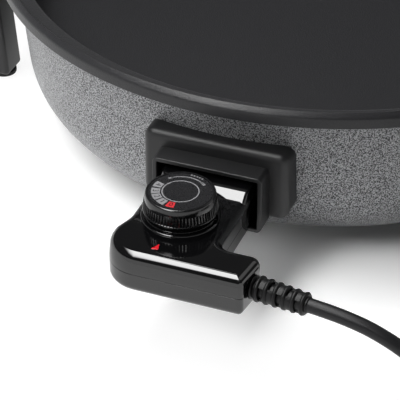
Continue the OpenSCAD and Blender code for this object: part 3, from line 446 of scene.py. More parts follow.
# a ring of upright ribs round an axis
def ribTree(name, material):
    sizes = [("Ribs", "Int"), ("Radius", "Float"), ("Rib Size", "Vector"), ("Lean", "Float"),
             ("Place", "Vector"), ("Turn", "Vector")]
    tree, given = startTree(name, sizes)
    circle = addNode(tree, "GeometryNodeMeshCircle",
                     {"Vertices": given["Ribs"], "Radius": given["Radius"]})
    rib = addNode(tree, "GeometryNodeMeshCylinder", {"Vertices": 8, "Radius": 0.5, "Depth": 1.0})
    size = addNode(tree, "GeometryNodeTransform",
                   {"Geometry": rib.outputs["Mesh"], "Scale": given["Rib Size"]})
    index = addNode(tree, "GeometryNodeInputIndex").outputs[0]
    share = addNode(tree, "ShaderNodeMath", {0: index, 1: given["Ribs"]}, operation="DIVIDE")
    angle = addNode(tree, "ShaderNodeMath", {0: share.outputs[0], 1: 2 * math.pi},
                    operation="MULTIPLY")
    turn = addNode(tree, "ShaderNodeCombineXYZ", {"Y": given["Lean"], "Z": angle.outputs[0]})
    ring = addNode(tree, "GeometryNodeInstanceOnPoints",
                   {"Points": circle.outputs[0], "Instance": size.outputs[0],
                    "Rotation": turn.outputs[0]})
    place = addNode(tree, "GeometryNodeTransform",
                    {"Geometry": ring.outputs[0], "Translation": given["Place"],
                     "Rotation": given["Turn"]})
    smooth = addNode(tree, "GeometryNodeSetShadeSmooth", {"Geometry": place.outputs[0]})
    return endTree(tree, smooth.outputs[0], material)


# a form set on every point, facing along the point's aim
def fastenerTree(name, material):
    tree, given = startTree(name, [("Fastener", "Object")])
    form = addNode(tree, "GeometryNodeObjectInfo",
                   {"Object": given["Fastener"], "As Instance": True})
    aim = addNode(tree, "GeometryNodeInputNamedAttribute", {"Name": "aim"},
                  data_type="FLOAT_VECTOR")
    turn = addNode(tree, "FunctionNodeAlignRotationToVector", {"Vector": aim.outputs[0]}, axis="Z")
    place = addNode(tree, "GeometryNodeInstanceOnPoints",
                    {"Points": given["Geometry"], "Instance": form.outputs["Geometry"],
                     "Rotation": turn.outputs[0]})
    return endTree(tree, place.outputs[0], material)


atPan = Matrix.Translation((0, panAxisY, 0))
atBase = Matrix.Translation((0, panAxisY, footHeight))
atKnob = Matrix.Translation((knobX, panAxisY - knobY, 0))
upright = Matrix.Rotation(math.pi / 2, 4, "X")   # an outline's height becomes Z, its depth -Y
fourSides = [(s, t) for s in (-1, 1) for t in (-1, 1)]   # left and right, front and back


# strain relief's sizes, which the cord and the control's arm share
boot = {"base": (50.5, panAxisY - frontY + armHalf, partHeight), "yaw": math.radians(8),
        "length": 32, "boreR": 3.95, "rootR": 5, "rootLength": 4, "collarR": 6.5,
        "collarLength": 1.2, "collarEdge": 0.6, "edge": 0.4, "coreR": 4.5, "baseR": 7.2,
        "tipR": 6.2, "ribs": 6, "ribWidth": 2.5, "ribBore": 4, "webHalf": 48, "webDrop": 1}
bootAlong = Vector((math.cos(boot["yaw"]), -math.sin(boot["yaw"]), 0))
bootEnd = Vector(boot["base"]) + boot["length"] * bootAlong

# cord: from the strain relief down to the table, then its coil, in one run
cordShape = {"d": 7.8, "coilAt": (236, -188.5), "coilR": 51.5, "gap": 0.7, "turns": 2.25,
             "stepsPerTurn": 48, "low": 5.4, "plugHeight": 18.8, "leadTurn": 0.3}
cordRoute = [
    (98, -235.8, 52.2), (106, -236.8, 51.4), (114, -237.6, 50), (122, -238.3, 47.6),
    (130, -238.8, 44.3), (138, -239.2, 40), (146, -239.5, 34.8), (154, -239.7, 29),
    (162, -239.8, 23.4), (170, -239.9, 18.2), (178, -240, 13.8), (186, -240, 10.4),
    (194, -240, 7.8), (202, -240, 6.3), (210, -240, 5.6), (218, -240, 5.4)]


def easeStep(t):
    s = min(max(t, 0), 1)
    return s * s * (3 - 2 * s)


# the coil winds in on the table, climbs by one cord and winds out to the plug
def coilPoint(u, c):
    pitch, total = c["d"] + c["gap"], 2 * c["turns"]
    r = c["coilR"] - pitch * min(u, total - u)
    climb = pitch * easeStep((u - c["turns"]) * 2 + 0.5)
    leadStart = u - total + c["leadTurn"]
    lead = (c["plugHeight"] - c["low"] - pitch) * easeStep(leadStart / c["leadTurn"])
    a, (x, y) = 2 * math.pi * u, c["coilAt"]
    return Vector((x + r * math.sin(a), y - r * math.cos(a), c["low"] + climb + lead))


def smoothRun(points, parts):
    run = []
    for i in range(len(points) - 1):
        p0, p1, p2, p3 = (points[min(max(i + k, 0), len(points) - 1)] for k in (-1, 0, 1, 2))
        for k in range(parts):
            t = k / parts
            bend = (2 * p0 - 5 * p1 + 4 * p2 - p3) * t * t + (3 * p1 - p0 - 3 * p2 + p3) * t ** 3
            run.append(0.5 * (2 * p1 + (p2 - p0) * t + bend))
    return run + [points[-1]]


def tubeObject(name, line, radius, material):
    curve = bpy.data.curves.new(name, "CURVE")
    curve.dimensions, curve.use_fill_caps = "3D", True
    curve.bevel_depth, curve.bevel_resolution = radius * mm, 5
    spline = curve.splines.new("POLY")
    spline.points.add(len(line) - 1)
    for p, q in zip(spline.points, line):
        p.co = (q.x * mm, q.y * mm, q.z * mm, 1)
    spline.use_smooth = True
    curve.materials.append(material)
    obj = bpy.data.objects.new(name, curve)
    scene.collection.objects.link(obj)
    return obj


def makeCord(c):
    coilStart = Vector((c["coilAt"][0] - c["d"], c["coilAt"][1] - c["coilR"], c["low"]))
    leave = [bootEnd, bootEnd + c["d"] * bootAlong]
    free = smoothRun(leave + [Vector(p) for p in cordRoute] + [coilStart], 3)
    total = 2 * c["turns"]
    steps = round(total * c["stepsPerTurn"])
    wound = [coilPoint(total * i / steps, c) for i in range(steps + 1)]
    line = free + wound + [wound[-1] - Vector((c["d"], 0, 0))]
    obj = tubeObject("mainsCord", line, c["d"] / 2, cordPvc)
    ridePiece(obj, "control", ("cord", "cord_coil"))
    return obj, sum((b - a).length for a, b in zip(line, line[1:])) * mm


mainsCord, cordLength = makeCord(cordShape)
print("cord laid,", round(cordLength, 3), "m")


# pan: one turned casting with a hammered outside, a dark coated inside and a bare underside
pan = {"rimR": 200, "rimTop": 94, "rimLow": 84, "rimFlat": 4, "rimEdge": 1, "baseR": 169,
       "shoulder": (183, 26), "wallTopR": 189, "wall": 4, "lipInR": 196.6, "lipKnee": 2.5,
       "lipBow": 18, "lipBend": 40, "crest": 0.6, "crestDrop": 0.8, "ledge": 88, "stepRound": 1.5,
       "dropRound": 2, "floor": 37.5, "corner": 14, "under": 33.5, "underCut": 2,
       "footEdge": [(0, 0.9), (0.5, 0.2)], "edgeRound": 1.8, "pinBoreR": 5.3, "steps": 288}
wallRise = pan["rimLow"] - pan["shoulder"][1]
wallRun = Vector((pan["wallTopR"] - pan["shoulder"][0], wallRise)).normalized()
wallOut = Vector((wallRun.y, -wallRun.x))
chord = Vector((pan["baseR"], 0)) - Vector(pan["shoulder"])
curveR = -chord.length_squared / (2 * chord.dot(wallOut))
curveAt = Vector(pan["shoulder"]) - curveR * wallOut
curveLow = math.degrees(math.atan2(-curveAt.y, pan["baseR"] - curveAt.x))
curveHigh = math.degrees(math.atan2(wallOut.y, wallOut.x))


def wallR(z):
    if z >= pan["shoulder"][1]:
        return pan["shoulder"][0] + (z - pan["shoulder"][1]) * wallRun.x / wallRun.y
    return curveAt.x + math.sqrt(curveR ** 2 - (z - curveAt.y) ** 2)


def innerR(z):
    return wallR(z) - pan["wall"] / wallOut.x


def cornerOf(p, q, s, r, n=6):
    return [tuple(c) for c in roundCorner(Vector(p), Vector(q), Vector(s), r, n)]


def undersideProfile(p):
    inner = arcPoints(curveAt.x, curveAt.y, curveR - p["wall"], curveHigh, curveLow, 16)
    low, cut, footR = innerR(p["under"]), p["underCut"], inner[-1][0]
    flat = [(r, p["under"]) for r in (0, 60, 120, low - cut)] + [(low, p["under"] - cut)]
    return flat + inner + [(footR + x, z) for x, z in p["footEdge"]], footR


def outsideProfile(p, footR, rimEdge):
    outer = arcPoints(curveAt.x, curveAt.y, curveR, curveLow, curveHigh, 28)
    edge = cornerOf((footR, 0), (p["baseR"], 0), outer[4], p["edgeRound"])
    run = edge + [q for q in outer if q[1] > edge[-1][1] + 0.3]
    run += [(wallR(z), z) for z in (40, 55, 70, 80)] + [(p["wallTopR"], p["rimLow"])]
    return run + [(p["rimR"] - p["rimFlat"], p["rimLow"])] + arcPoints(*rimEdge, -90, -30, 4)


# the rim's side rises in a small knee and a long bow to its crest, then steps in to a ledge
def insideProfile(p, rimEdge):
    knee, bow, bend = p["lipKnee"], p["lipBow"], math.radians(p["lipBend"])
    crest, top = p["lipInR"] + p["crest"], p["rimTop"] - p["crestDrop"]
    kneeX = p["rimR"] - knee * (1 - math.cos(bend))
    lean = math.acos(math.cos(bend) - (kneeX - crest) / bow)
    bowAt = (crest - bow * math.cos(lean), top - bow * math.sin(lean))
    kneeAt = (p["rimR"] - knee, bowAt[1] + (bow - knee) * math.sin(bend))
    run = arcPoints(*rimEdge, -20, 0, 2) + arcPoints(*kneeAt, knee, 0, p["lipBend"], 6)
    run += arcPoints(*bowAt, bow, p["lipBend"], math.degrees(lean), 10)[1:]
    run += [(p["lipInR"], top - p["crest"])]
    step, drop = (p["lipInR"], p["ledge"]), (innerR(p["ledge"]), p["ledge"])
    floorEdge = (innerR(p["floor"]), p["floor"])
    run += cornerOf((p["lipInR"], p["rimTop"]), step, drop, p["stepRound"])
    run += cornerOf(step, drop, floorEdge, p["dropRound"])
    run += [(innerR(z), z) for z in (78, 68, 60)]
    run += cornerOf(drop, floorEdge, (0, p["floor"]), p["corner"], 12)
    return run + [(r, p["floor"]) for r in (140, 100, 50, 0)]


def makePan(p):
    rimEdge = (p["rimR"] - p["rimEdge"], p["rimLow"] + p["rimEdge"], p["rimEdge"])
    under, footR = undersideProfile(p)
    outside, inside = outsideProfile(p, footR, rimEdge), insideProfile(p, rimEdge)
    zones = [2] * len(under) + [0] * len(outside) + [1] * (len(inside) - 1)
    obj = turnedObject("panCasting", under + outside + inside, atBase, p["steps"],
                       hammertone, nonStick, castAluminium, zones=zones)
    bores = [(0, 100, probeBoreR), (pinX, 160, p["pinBoreR"]), (-pinX, 160, p["pinBoreR"])]
    outY = panAxisY - p["rimR"]
    rods = [((x, panAxisY - y, pinHeight), (x, outY, pinHeight), r) for x, y, r in bores]
    carve(obj, [rodsObject("panBores", rods)])
    finishPiece(obj, "pan_body", ("pan_wall", "pan_floor"), 30)


makePan(pan)


# the casting's bosses: four outside for the handles, and those under the floor
casting = {"bossR": 7.5, "bossRoot": 184, "bossX": 196, "bossY": 30, "bossHeight": 77,
           "bossFlare": [(3, -2), (1.6, 1.5), (0.5, 3.5), (0, 6)], "bossEdge": 0.6,
           "ribHalf": 5, "ribTop": 34, "ribGap": 26.5, "grooveR": 3.5, "padX": 35.4,
           "padHeight": 45.5, "padY": 172.57, "padR": 4.5, "padLength": 5, "guideFrom": 116,
           "guideTo": 182, "guideHalf": 6.5, "guideLow": 24.5, "guideRound": 1.2}


def makeBosses(c):
    bm = bmesh.new()
    r, reach, edge = c["bossR"], c["bossX"] - c["bossRoot"], c["bossEdge"]
    flare = [(r + wider, z) for wider, z in c["bossFlare"]]
    profile = [(0, flare[0][1])] + flare + [(r, reach - edge), (r - edge, reach), (0, reach)]
    for s, t in fourSides:
        root = (s * c["bossRoot"], panAxisY + t * c["bossY"], c["bossHeight"])
        turn = Matrix.Rotation(s * math.pi / 2, 4, "Y")
        lathe(bm, profile, Matrix.Translation(root) @ turn, 40)
    finishPiece(plainObject("handleBosses", bm, (hammertone,)), "pan_body")


# a grooved ring that holds the heating element, and two pads for the socket's screws
def makeElementSeat(c):
    bm = bmesh.new()
    low, top, w, steps = pinHeight - footHeight, c["ribTop"], c["ribHalf"], 160
    section = [(loopR - w, low)] + arcPoints(loopR, low, c["grooveR"], 180, 0, 12)
    section += [(loopR + w, low), (loopR + w, top), (loopR - w, top)]
    gap, rings = math.asin(c["ribGap"] / loopR), []
    for i in range(steps + 1):
        a = -math.pi / 2 + gap + (2 * math.pi - 2 * gap) * i / steps
        rings.append([(r * math.cos(a), r * math.sin(a), z) for r, z in section])
    loft(bm, rings, atBase)
    for s in (-1, 1):
        pad = Vector((s * c["padX"], panAxisY - c["padY"], c["padHeight"]))
        rodMesh(bm, pad, pad - Vector((0, c["padLength"], 0)), c["padR"], 40)
    seat = plainObject("elementSeat", bm, (castAluminium,))
    finishPiece(seat, "pan_body", ("element_seat",))


# a bored block that leads the probe in under the floor
def makeProbeGuide(c):
    end = boxPoints(-c["guideHalf"], c["guideLow"], c["guideHalf"], c["ribTop"], c["guideRound"])
    rings = slabRings(end, c["guideFrom"], c["guideTo"])
    guide = loftObject("probeGuide", rings, atBase @ upright, castAluminium)
    start, stop = panAxisY - c["guideFrom"] + 6, panAxisY - c["guideTo"] - 8
    bore = ((0, start, pinHeight), (0, stop, pinHeight), probeBoreR)
    carve(guide, [rodsObject("guideBore", [bore])])
    finishPiece(guide, "pan_body")


makeBosses(casting)
makeElementSeat(casting)
makeProbeGuide(casting)


# heating element: a bent sheath under the floor, its two ends turned to the socket
element = {"r": 3.4, "bendR": 14, "back": 171.5, "straight": 20}


def makeElement(e):
    bendX, reach = pinX + e["bendR"], loopR + e["bendR"]
    bendY = math.sqrt(reach ** 2 - bendX ** 2)
    turn = math.degrees(math.asin(bendX / reach))
    half = [(pinX, -e["back"]), (pinX, -e["back"] + e["straight"])]
    half += arcPoints(bendX, -bendY, e["bendR"], 180, 90 + turn, 10)
    half += arcPoints(0, 0, loopR, turn - 86, 90, 60)   # the loop starts a little past the bend
    line = half + [(-x, y) for x, y in reversed(half[:-1])]
    run = [Vector((x, y + panAxisY, pinHeight)) for x, y in line]
    obj = tubeObject("heatingElement", run, e["r"], sheathSteel)
    ridePiece(obj, "pan_body", ("heating_element",))


makeElement(element)


# socket housing: a flat frame on the wall with a sleeve standing out of it
housing = {"w": 84, "low": 22, "h": 42, "y": 194.9586, "deep": 6, "wallGap": 0.15, "corner": 6,
           "edge": 4.5, "sleeveW": 63, "sleeveLow": 20, "sleeveH": 35, "sleeveT": 2.7,
           "sleeveY": 206.9586, "sleeveRound": 3, "lip": 0.6, "hollowFrom": 150,
           "plateSeat": (-30.05, 21.45, 30.05, 53.55, 0.2), "seatTo": 188}


def makeHousing(h):
    place, root = atBase @ upright, h["y"] - h["deep"]
    plate = boxPoints(-h["w"] / 2, h["low"], h["w"] / 2, h["low"] + h["h"], h["corner"])
    back = [(p.x, p.y, math.sqrt((wallR(p.y) + h["wallGap"]) ** 2 - p.x ** 2))
            for p in outline(plate)]
    rings = [back] + slabRings(plate, root, h["y"], 0, h["edge"])[1:]
    body = loftObject("socketHousing", rings, place, phenolic)
    half, top, y = h["sleeveW"] / 2, h["sleeveLow"] + h["sleeveH"], h["sleeveY"]
    tube = boxPoints(-half, h["sleeveLow"], half, top, h["sleeveRound"])
    blank = loftObject("sleeveBlank", slabRings(tube, root, y, 0, h["lip"]), place)
    carve(body, [blank], "UNION")
    t, lip = h["sleeveT"], h["lip"]
    mouth = [(h["hollowFrom"], t), (y - lip, t), (y + 0.05, t - lip), (y + 5, t - lip)]
    hollow = loftObject("sleeveHollow", [ringAt(tube, at, inset) for at, inset in mouth], place)
    seatRings = slabRings(boxPoints(*h["plateSeat"]), h["hollowFrom"], h["seatTo"])
    carve(body, [hollow, loftObject("plateSeat", seatRings, place)])
    finishPiece(body, "pan_body", ("socket_housing",), 40)


makeHousing(housing)


# handles: a bar round a finger hole, on two legs, with the screws' sinks
handle = {"x": 196, "end": 244, "half": 62, "low": 68, "high": 86, "corner": 24, "edge": 4,
          "holeFrom": 208, "holeTo": 230, "holeHalf": 42, "holeRound": 9, "holeEdge": 3.4,
          "leg": [(208, 82, 0.5), (196, 82, 0.5), (196, 60, 10), (191, 3, 2.6), (207, 3, 2.6),
                  (208, 60, 14)],
          "legY": 48, "legHalf": 10, "legEdge": 2.5, "screwX": 203, "screwY": 30,
          "screwHeight": 77, "sinkR": 4.9, "sinkDeep": 6}


def makeHandle(h, name, side, node):
    half, rootRound = h["half"], h["edge"] + 0.1
    bar = [(h["end"], half, h["corner"]), (h["x"], half, rootRound),
           (h["x"], -half, rootRound), (h["end"], -half, h["corner"])]
    hole = boxPoints(h["holeFrom"], -h["holeHalf"], h["holeTo"], h["holeHalf"], h["holeRound"])
    place = atPan @ Matrix.Scale(side, 4, (1, 0, 0))
    bm = bmesh.new()
    bandMesh(bm, bar, hole, h["low"], h["high"], h["edge"], h["holeEdge"], place)
    obj = plainObject(name, bm, (phenolic,))
    legRings = slabRings(h["leg"], -h["legHalf"], h["legHalf"], h["legEdge"], h["legEdge"])
    legs, sinks = [], []
    for t in (-1, 1):
        legAt = place @ Matrix.Translation((0, t * h["legY"], 0)) @ upright
        legs.append(loftObject(name + "Leg", legRings, legAt, phenolic))
        sink = Vector((side * h["screwX"], panAxisY + t * h["screwY"], h["screwHeight"]))
        sinks.append((sink, sink + Vector((side * h["sinkDeep"], 0, 0)), h["sinkR"]))
    carve(obj, legs, "UNION")
    carve(obj, [rodsObject("screwSinks", sinks, 48)])
    finishPiece(obj, "pan_body", (node,), 40)


makeHandle(handle, "rightHandle", 1, "right_handle")
makeHandle(handle, "leftHandle", -1, "left_handle")


# foot pads: a turned button pushed into each leg
footPad = {"sole": [(0, 0.4), (5.4, 0.4), (5.8, 0), (7.2, 0), (7.8, 0.25), (8, 0.8)], "r": 8,
           "h": 3, "edge": 0.4, "stemR": 3.5, "stemTop": 7.5, "x": 199, "y": 48}


def makeFeet(f):
    bm = bmesh.new()
    r, h, stem = f["r"], f["h"], f["stemR"]
    profile = f["sole"] + [(r, h - f["edge"]), (r - f["edge"], h), (stem, h)]
    profile += [(stem, f["stemTop"]), (0, f["stemTop"])]
    for s, t in fourSides:
        lathe(bm, profile, Matrix.Translation((s * f["x"], panAxisY + t * f["y"], 0)), 64)
    finishPiece(plainObject("footPads", bm, (footRubber,)), "pan_body", ("foot_pads",))


makeFeet(footPad)


# control: two gloss shells with a raised nose; the plan goes round from the nose's right corner
noseHalf, frontHalf, frontBow = 26.8, 30.6, 1.2
armX, armLean, armBack = boot["base"][0], armHalf * math.tan(boot["yaw"]), -frontY + 2 * armHalf
control = {
    "plan": [(noseHalf, -noseY, 5), (-noseHalf, -noseY, 5), (-noseHalf, -frontY + 34, 20),
             (-frontHalf, -frontY + 23, 8), (-frontHalf, -frontY - frontBow, 19),
             (armX - armLean, -frontY - frontBow, 3), (armX + armLean, armBack, 6),
             (noseHalf, armBack, 7)],
    "edge": 4.4, "bowEdge": 5.2, "bowLean": 24, "flat": 0.4, "wall": 2, "seam": 0.3,
    "lowSeam": 0.02, "sinkR": 2.8, "sinkDeep": 2,
    "posts": [(21.8, -noseY - 11), (-21.8, -noseY - 11), (-17, -frontY + 13), (20, -frontY + 6)],
    "noseHoles": [(pinX, pinHeight, 2.6), (-pinX, pinHeight, 2.6), (0, pinHeight, probeBoreR),
                  (0, pinHeight + earthUp, 2.6)],
    "holeDeep": 6, "cordHoleR": 5.1, "cordHoleHalf": 5, "spindleHoleR": 3.2, "spindleHoleHalf": 4,
    "noseRise": 3.6, "noseRoot": 3, "noseStep": 22.4, "noseRamp": 4.1, "noseSide": 25.8,
    "noseEdge": 1.1, "noseCorner": 1.5, "noseTurn": 10, "noseBackRound": 0.3}


# the raised nose: flat on top, with a ramp towards the knob that rounds off at its corners
def noseObject(c):
    rise, edge, x, sunk = c["noseRise"], c["noseEdge"], c["noseSide"], -0.5
    levels = [(-c["noseRoot"], 0), (sunk, 0)]
    levels += [(rise - edge * (1 - math.sin(a)), edge * (1 - math.cos(a))) for a in quarterTurn]
    rings, back = [], -noseY - 0.05
    for up, inset in levels:
        ramp = (rise - max(up, sunk)) * c["noseRamp"] / rise
        front = -noseY - c["noseStep"] - ramp
        plan = [(x, back, c["noseBackRound"]), (-x, back, c["noseBackRound"]),
                (-x, front, c["noseTurn"]), (x, front, c["noseCorner"])]
        rings.append(ringAt(plan, controlTop + up, inset))
    return loftObject("noseRise", rings, atPan, glossAbs)


# a shell's side and its rounded edge as (inset, drop) pairs: upright, or leaning in a long bow
def sideRun(height, r, lean, flat):
    side = height - r * (1 - math.sin(lean))
    bow = side / math.sin(lean) if lean else 0
    run = []
    for k in range(9):
        z = side * k / 8
        run.append((bow - math.sqrt(max(bow * bow - z * z, 0)), height - z))
    start = run[-1][0] + r * math.cos(lean)
    for k in range(1, 17):
        a = lean + (math.pi / 2 - lean) * k / 16
        run.append((start - r * math.cos(a), r * (1 - math.sin(a))))
    return run + [(run[-1][0] + flat, 0)]


# only the upper shell's front leans: its rings pass from one run to the other round the corners
def shellRings(c, height, far, direction):
    plan, plain = c["plan"], sideRun(height, c["edge"], 0, c["flat"])
    bowed = plain
    if direction > 0:
        bowed = sideRun(height, c["bowEdge"], math.radians(c["bowLean"]), c["flat"])
    shares = [max((q - p).normalized().y, 0) for p, q in zip(outline(plan), outline(plan, 0.1))]
    rings = []
    for (inset, drop), (bowInset, bowDrop) in zip(plain, bowed):
        ring = []
        for p, q, share in zip(outline(plan, inset), outline(plan, bowInset), shares):
            ring.append((*p.lerp(q, share), far - direction * (drop + (bowDrop - drop) * share)))
        rings.append(ring)
    return rings


def makeShell(c, name, seam, far, direction, node):
    plan, gap, wall, edge = c["plan"], c["lowSeam"], c["wall"], c["edge"]
    if direction > 0:
        gap = c["seam"]
    skin = [ringAt(plan, far - direction * wall, edge + wall),
            ringAt(plan, far - direction * edge, wall + 1),
            ringAt(plan, seam, wall), ringAt(plan, seam, gap)]
    skin += shellRings(c, abs(far - seam) - gap, far, direction)
    obj = loftObject(name, skin, atPan, glossAbs)
    if direction > 0:
        carve(obj, [noseObject(c)], "UNION")
    nose, arm, reach = panAxisY - noseY, Vector(boot["base"]), c["cordHoleHalf"] * bootAlong
    deep = nose - wall - c["holeDeep"]
    cuts = [((x, nose + 1, z), (x, deep, z), r) for x, z, r in c["noseHoles"]]
    cuts.append((arm - reach, arm + reach, c["cordHoleR"]))
    if direction > 0:
        low, high = far - c["spindleHoleHalf"], far + c["spindleHoleHalf"]
        spindle = [atKnob @ Vector((0, 0, z)) for z in (low, high)]
        cuts.append((*spindle, c["spindleHoleR"]))
    else:
        for x, y in c["posts"]:
            at = (x, y + panAxisY)
            cuts.append(((*at, far - 1), (*at, far + c["sinkDeep"]), c["sinkR"]))
    carve(obj, [rodsObject("shellCuts", cuts)])
    finishPiece(obj, "control", (node,), 40)


makeShell(control, "controlTopShell", partHeight, controlTop, 1, "control_upper_shell")
makeShell(control, "controlBaseShell", partHeight, controlLow, -1, "control_lower_shell")


# pilot lens: a small red triangle that points to the knob, a little proud of the top
lens = {"corners": [(-2.2, 14.8), (-5.1, 8.9), (-1.1, 9.5)], "round": 0.3, "topRound": 0.25,
        "low": 61.5, "high": 64.4}


def makeLens(p):
    corners = [(x, y - frontY, p["round"]) for x, y in p["corners"]]
    rings = slabRings(corners, p["low"], p["high"], 0, p["topRound"])
    obj = loftObject("pilotLens", rings, atPan, redAcrylic)
    finishPiece(obj, "control", ("pilot_lens",), 30)


makeLens(lens)


# pedestal of the knob: a low plinth and a narrow ring, each (radius, top, rounding), and a collar
pedestal = {"plinth": (21.2, 0.8, 0.7), "ring": (18.9, 1.5, 0.3), "collarR": 17.5, "top": 3.9,
            "bore": 3.1, "root": -1}


def makePedestal(p):
    profile = [(p["bore"], p["root"]), (p["plinth"][0], p["root"])]
    for (r, top, edge), nextR in ((p["plinth"], p["ring"][0]), (p["ring"], p["collarR"])):
        profile += arcPoints(r - edge, top - edge, edge, 0, 90, 6) + [(nextR, top)]
    profile += [(p["collarR"], p["top"]), (p["bore"], p["top"])]
    place = atKnob @ Matrix.Translation((0, 0, controlTop))
    obj = turnedObject("knobPedestal", profile, place, 128, glossAbs, closed=True)
    finishPiece(obj, "control", (), 50)


makePedestal(pedestal)


# knob: a turned body, with its grip ribs set round it; the shapes are (in, up) or (in, down)
knob = {"r": 20.2, "topR": 18.7, "low": 68.4, "high": 79.1, "waist": 0.35, "bead": 1.2,
        "beadShape": [(0.5, 0), (0.12, 0.2), (0, 0.6), (0.1, 1)], "beadRoot": 0.45, "ribs": 72,
        "ribHigh": 6.2, "ribWide": 0.95, "ribDeep": 1.1, "ribRoot": 0.25, "ribIn": 0.2,
        "crown": 0.9, "crownShape": [(0.1, 0.45), (0.35, 0.12), (0.8, 0)], "dialR": 17.15,
        "dialSink": 0.7, "skirt": 18, "skirtDraft": 0.6, "hubR": 5.5, "bore": 3.02, "roof": 2.4}


def makeKnob(k):
    low, high, r, waist = k["low"], k["high"], k["r"], k["waist"]

    def slope(z):
        return r - waist + (k["topR"] - r + waist) * (z - low) / (high - low)

    ribLow, ribTop, roof, crown = low + k["bead"], low + k["ribHigh"], high - k["roof"], slope(high)
    profile = [(k["bore"], low), (k["hubR"], low), (k["hubR"], roof)]
    profile += [(k["skirt"] - k["skirtDraft"], roof), (k["skirt"], low)]
    profile += [(r - x, low + z) for x, z in k["beadShape"]] + [(r - k["beadRoot"], ribLow)]
    profile += [(slope(z) - k["ribRoot"], z) for z in (ribLow + 0.1, ribTop - 0.4)]
    profile += [(slope(z), z) for z in (ribTop + 0.2, high - k["crown"])]
    profile += [(crown - x, high - z) for x, z in k["crownShape"]]
    sink = high - k["dialSink"]
    profile += [(k["dialR"], high), (k["dialR"], sink), (k["bore"], sink)]
    body = turnedObject("knobBody", profile, atKnob, 144, satinAbs, closed=True)
    finishPiece(body, "dial", ("knob",), 40)
    ribs, mid = plainObject("knobRibs", bmesh.new()), (ribLow + ribTop) / 2
    runTree(ribs, ribTree("knobGrip", satinAbs), {
        "Ribs": k["ribs"], "Radius": (slope(mid) - k["ribIn"]) * mm,
        "Rib Size": (k["ribDeep"] * mm, k["ribWide"] * mm, (ribTop - ribLow) * mm),
        "Lean": -math.atan((r - k["topR"]) / (high - low)),
        "Place": tuple(atKnob @ Vector((0, 0, mid)) * mm)})
    finishPiece(ribs, "dial")


makeKnob(knob)


# dial: a printed disc with a scale of pale boxes, a red zero box, a ring and a run-up arc;
# the arc's parts are (half width, from, to)
dial = {"r": 17.1, "low": 78.4, "top": 78.95, "edge": 0.15, "ink": 0.04, "inkRoot": 0.05,
        "boxIn": 10.8, "boxOut": 15.5, "boxHalf": 10, "boxAt": (173, -162, -139, -115),
        "zeroAt": -91, "zeroHalf": 9, "ringR": 9.7, "ringHalf": 0.33, "arcR": 13.6,
        "arcParts": [(0.3, 50, 133), (0.75, 44, 57), (0.6, 130, 139)],
        "tickAt": (66, 72, 78, 84, 90), "tickIn": 15.6, "tickLong": 0.9, "tickHalf": 1.6,
        "numberSize": 4.4}


def sector(bm, r0, r1, a0, a1, z0, z1, place=Matrix(), n=10):
    rings = []
    for z in (z0, z1):
        edge = arcPoints(0, 0, r1, a0, a1, n) + arcPoints(0, 0, r0, a1, a0, n)
        rings.append([(*q, z) for q in edge])
    loft(bm, rings, place)


def makeDial(d):
    r, low, top, edge, arc, tick = d["r"], d["low"], d["top"], d["edge"], d["arcR"], d["tickIn"]
    disc = [(0, low), (r, low), (r, top - edge), (r - edge, top), (0, top)]
    obj = turnedObject("dialDisc", disc, atKnob, 128, dialFoil)
    finishPiece(obj, "dial", ("dial_plate",), 30)
    z0, z1, box, wide = top - d["inkRoot"], top + d["ink"], (d["boxIn"], d["boxOut"]), d["tickHalf"]
    marks = [(*box, a - d["boxHalf"], a + d["boxHalf"]) for a in d["boxAt"]]
    marks += [(tick, tick + d["tickLong"], a - wide, a + wide) for a in d["tickAt"]]
    marks += [(arc - half, arc + half, a0, a1) for half, a0, a1 in d["arcParts"]]
    bm = bmesh.new()
    for mark in marks:
        sector(bm, *mark, z0, z1, atKnob, 24)
    r0, r1 = d["ringR"] - d["ringHalf"], d["ringR"] + d["ringHalf"]
    lathe(bm, [(r0, z0), (r1, z0), (r1, z1), (r0, z1)], atKnob, 128, closed=True)
    finishPiece(plainObject("dialPrint", bm, (greyInk,)), "dial")
    bm = bmesh.new()
    sector(bm, *box, d["zeroAt"] - d["zeroHalf"], d["zeroAt"] + d["zeroHalf"], z0, z1, atKnob)
    finishPiece(plainObject("dialZero", bm, (redInk,)), "dial")


# plain numbers on the boxes, black like the disc, with their feet to the rim
def makeNumbers(d):
    bm = bmesh.new()
    middle = Vector(((d["boxIn"] + d["boxOut"]) / 2, 0, d["top"] + d["ink"]))
    onBox = Matrix.Translation(middle) @ Matrix.Rotation(math.pi / 2, 4, "Z")
    for number, angle in enumerate((d["zeroAt"], *reversed(d["boxAt"]))):
        figure = bpy.data.curves.new("scaleNumber", "FONT")
        figure.body, figure.size, figure.extrude = str(number), d["numberSize"], d["ink"]
        figure.align_x = figure.align_y = "CENTER"
        obj = bpy.data.objects.new("scaleNumber", figure)
        scene.collection.objects.link(obj)
        graph = bpy.context.evaluated_depsgraph_get()
        mesh = bpy.data.meshes.new_from_object(obj.evaluated_get(graph), depsgraph=graph)
        mesh.transform(atKnob @ Matrix.Rotation(math.radians(angle), 4, "Z") @ onBox)
        bm.from_mesh(mesh)
        bpy.data.objects.remove(obj)
        bpy.data.meshes.remove(mesh)
    finishPiece(plainObject("dialNumbers", bm, (dialFoil,)), "dial")


makeDial(dial)
makeNumbers(dial)
print("control made")


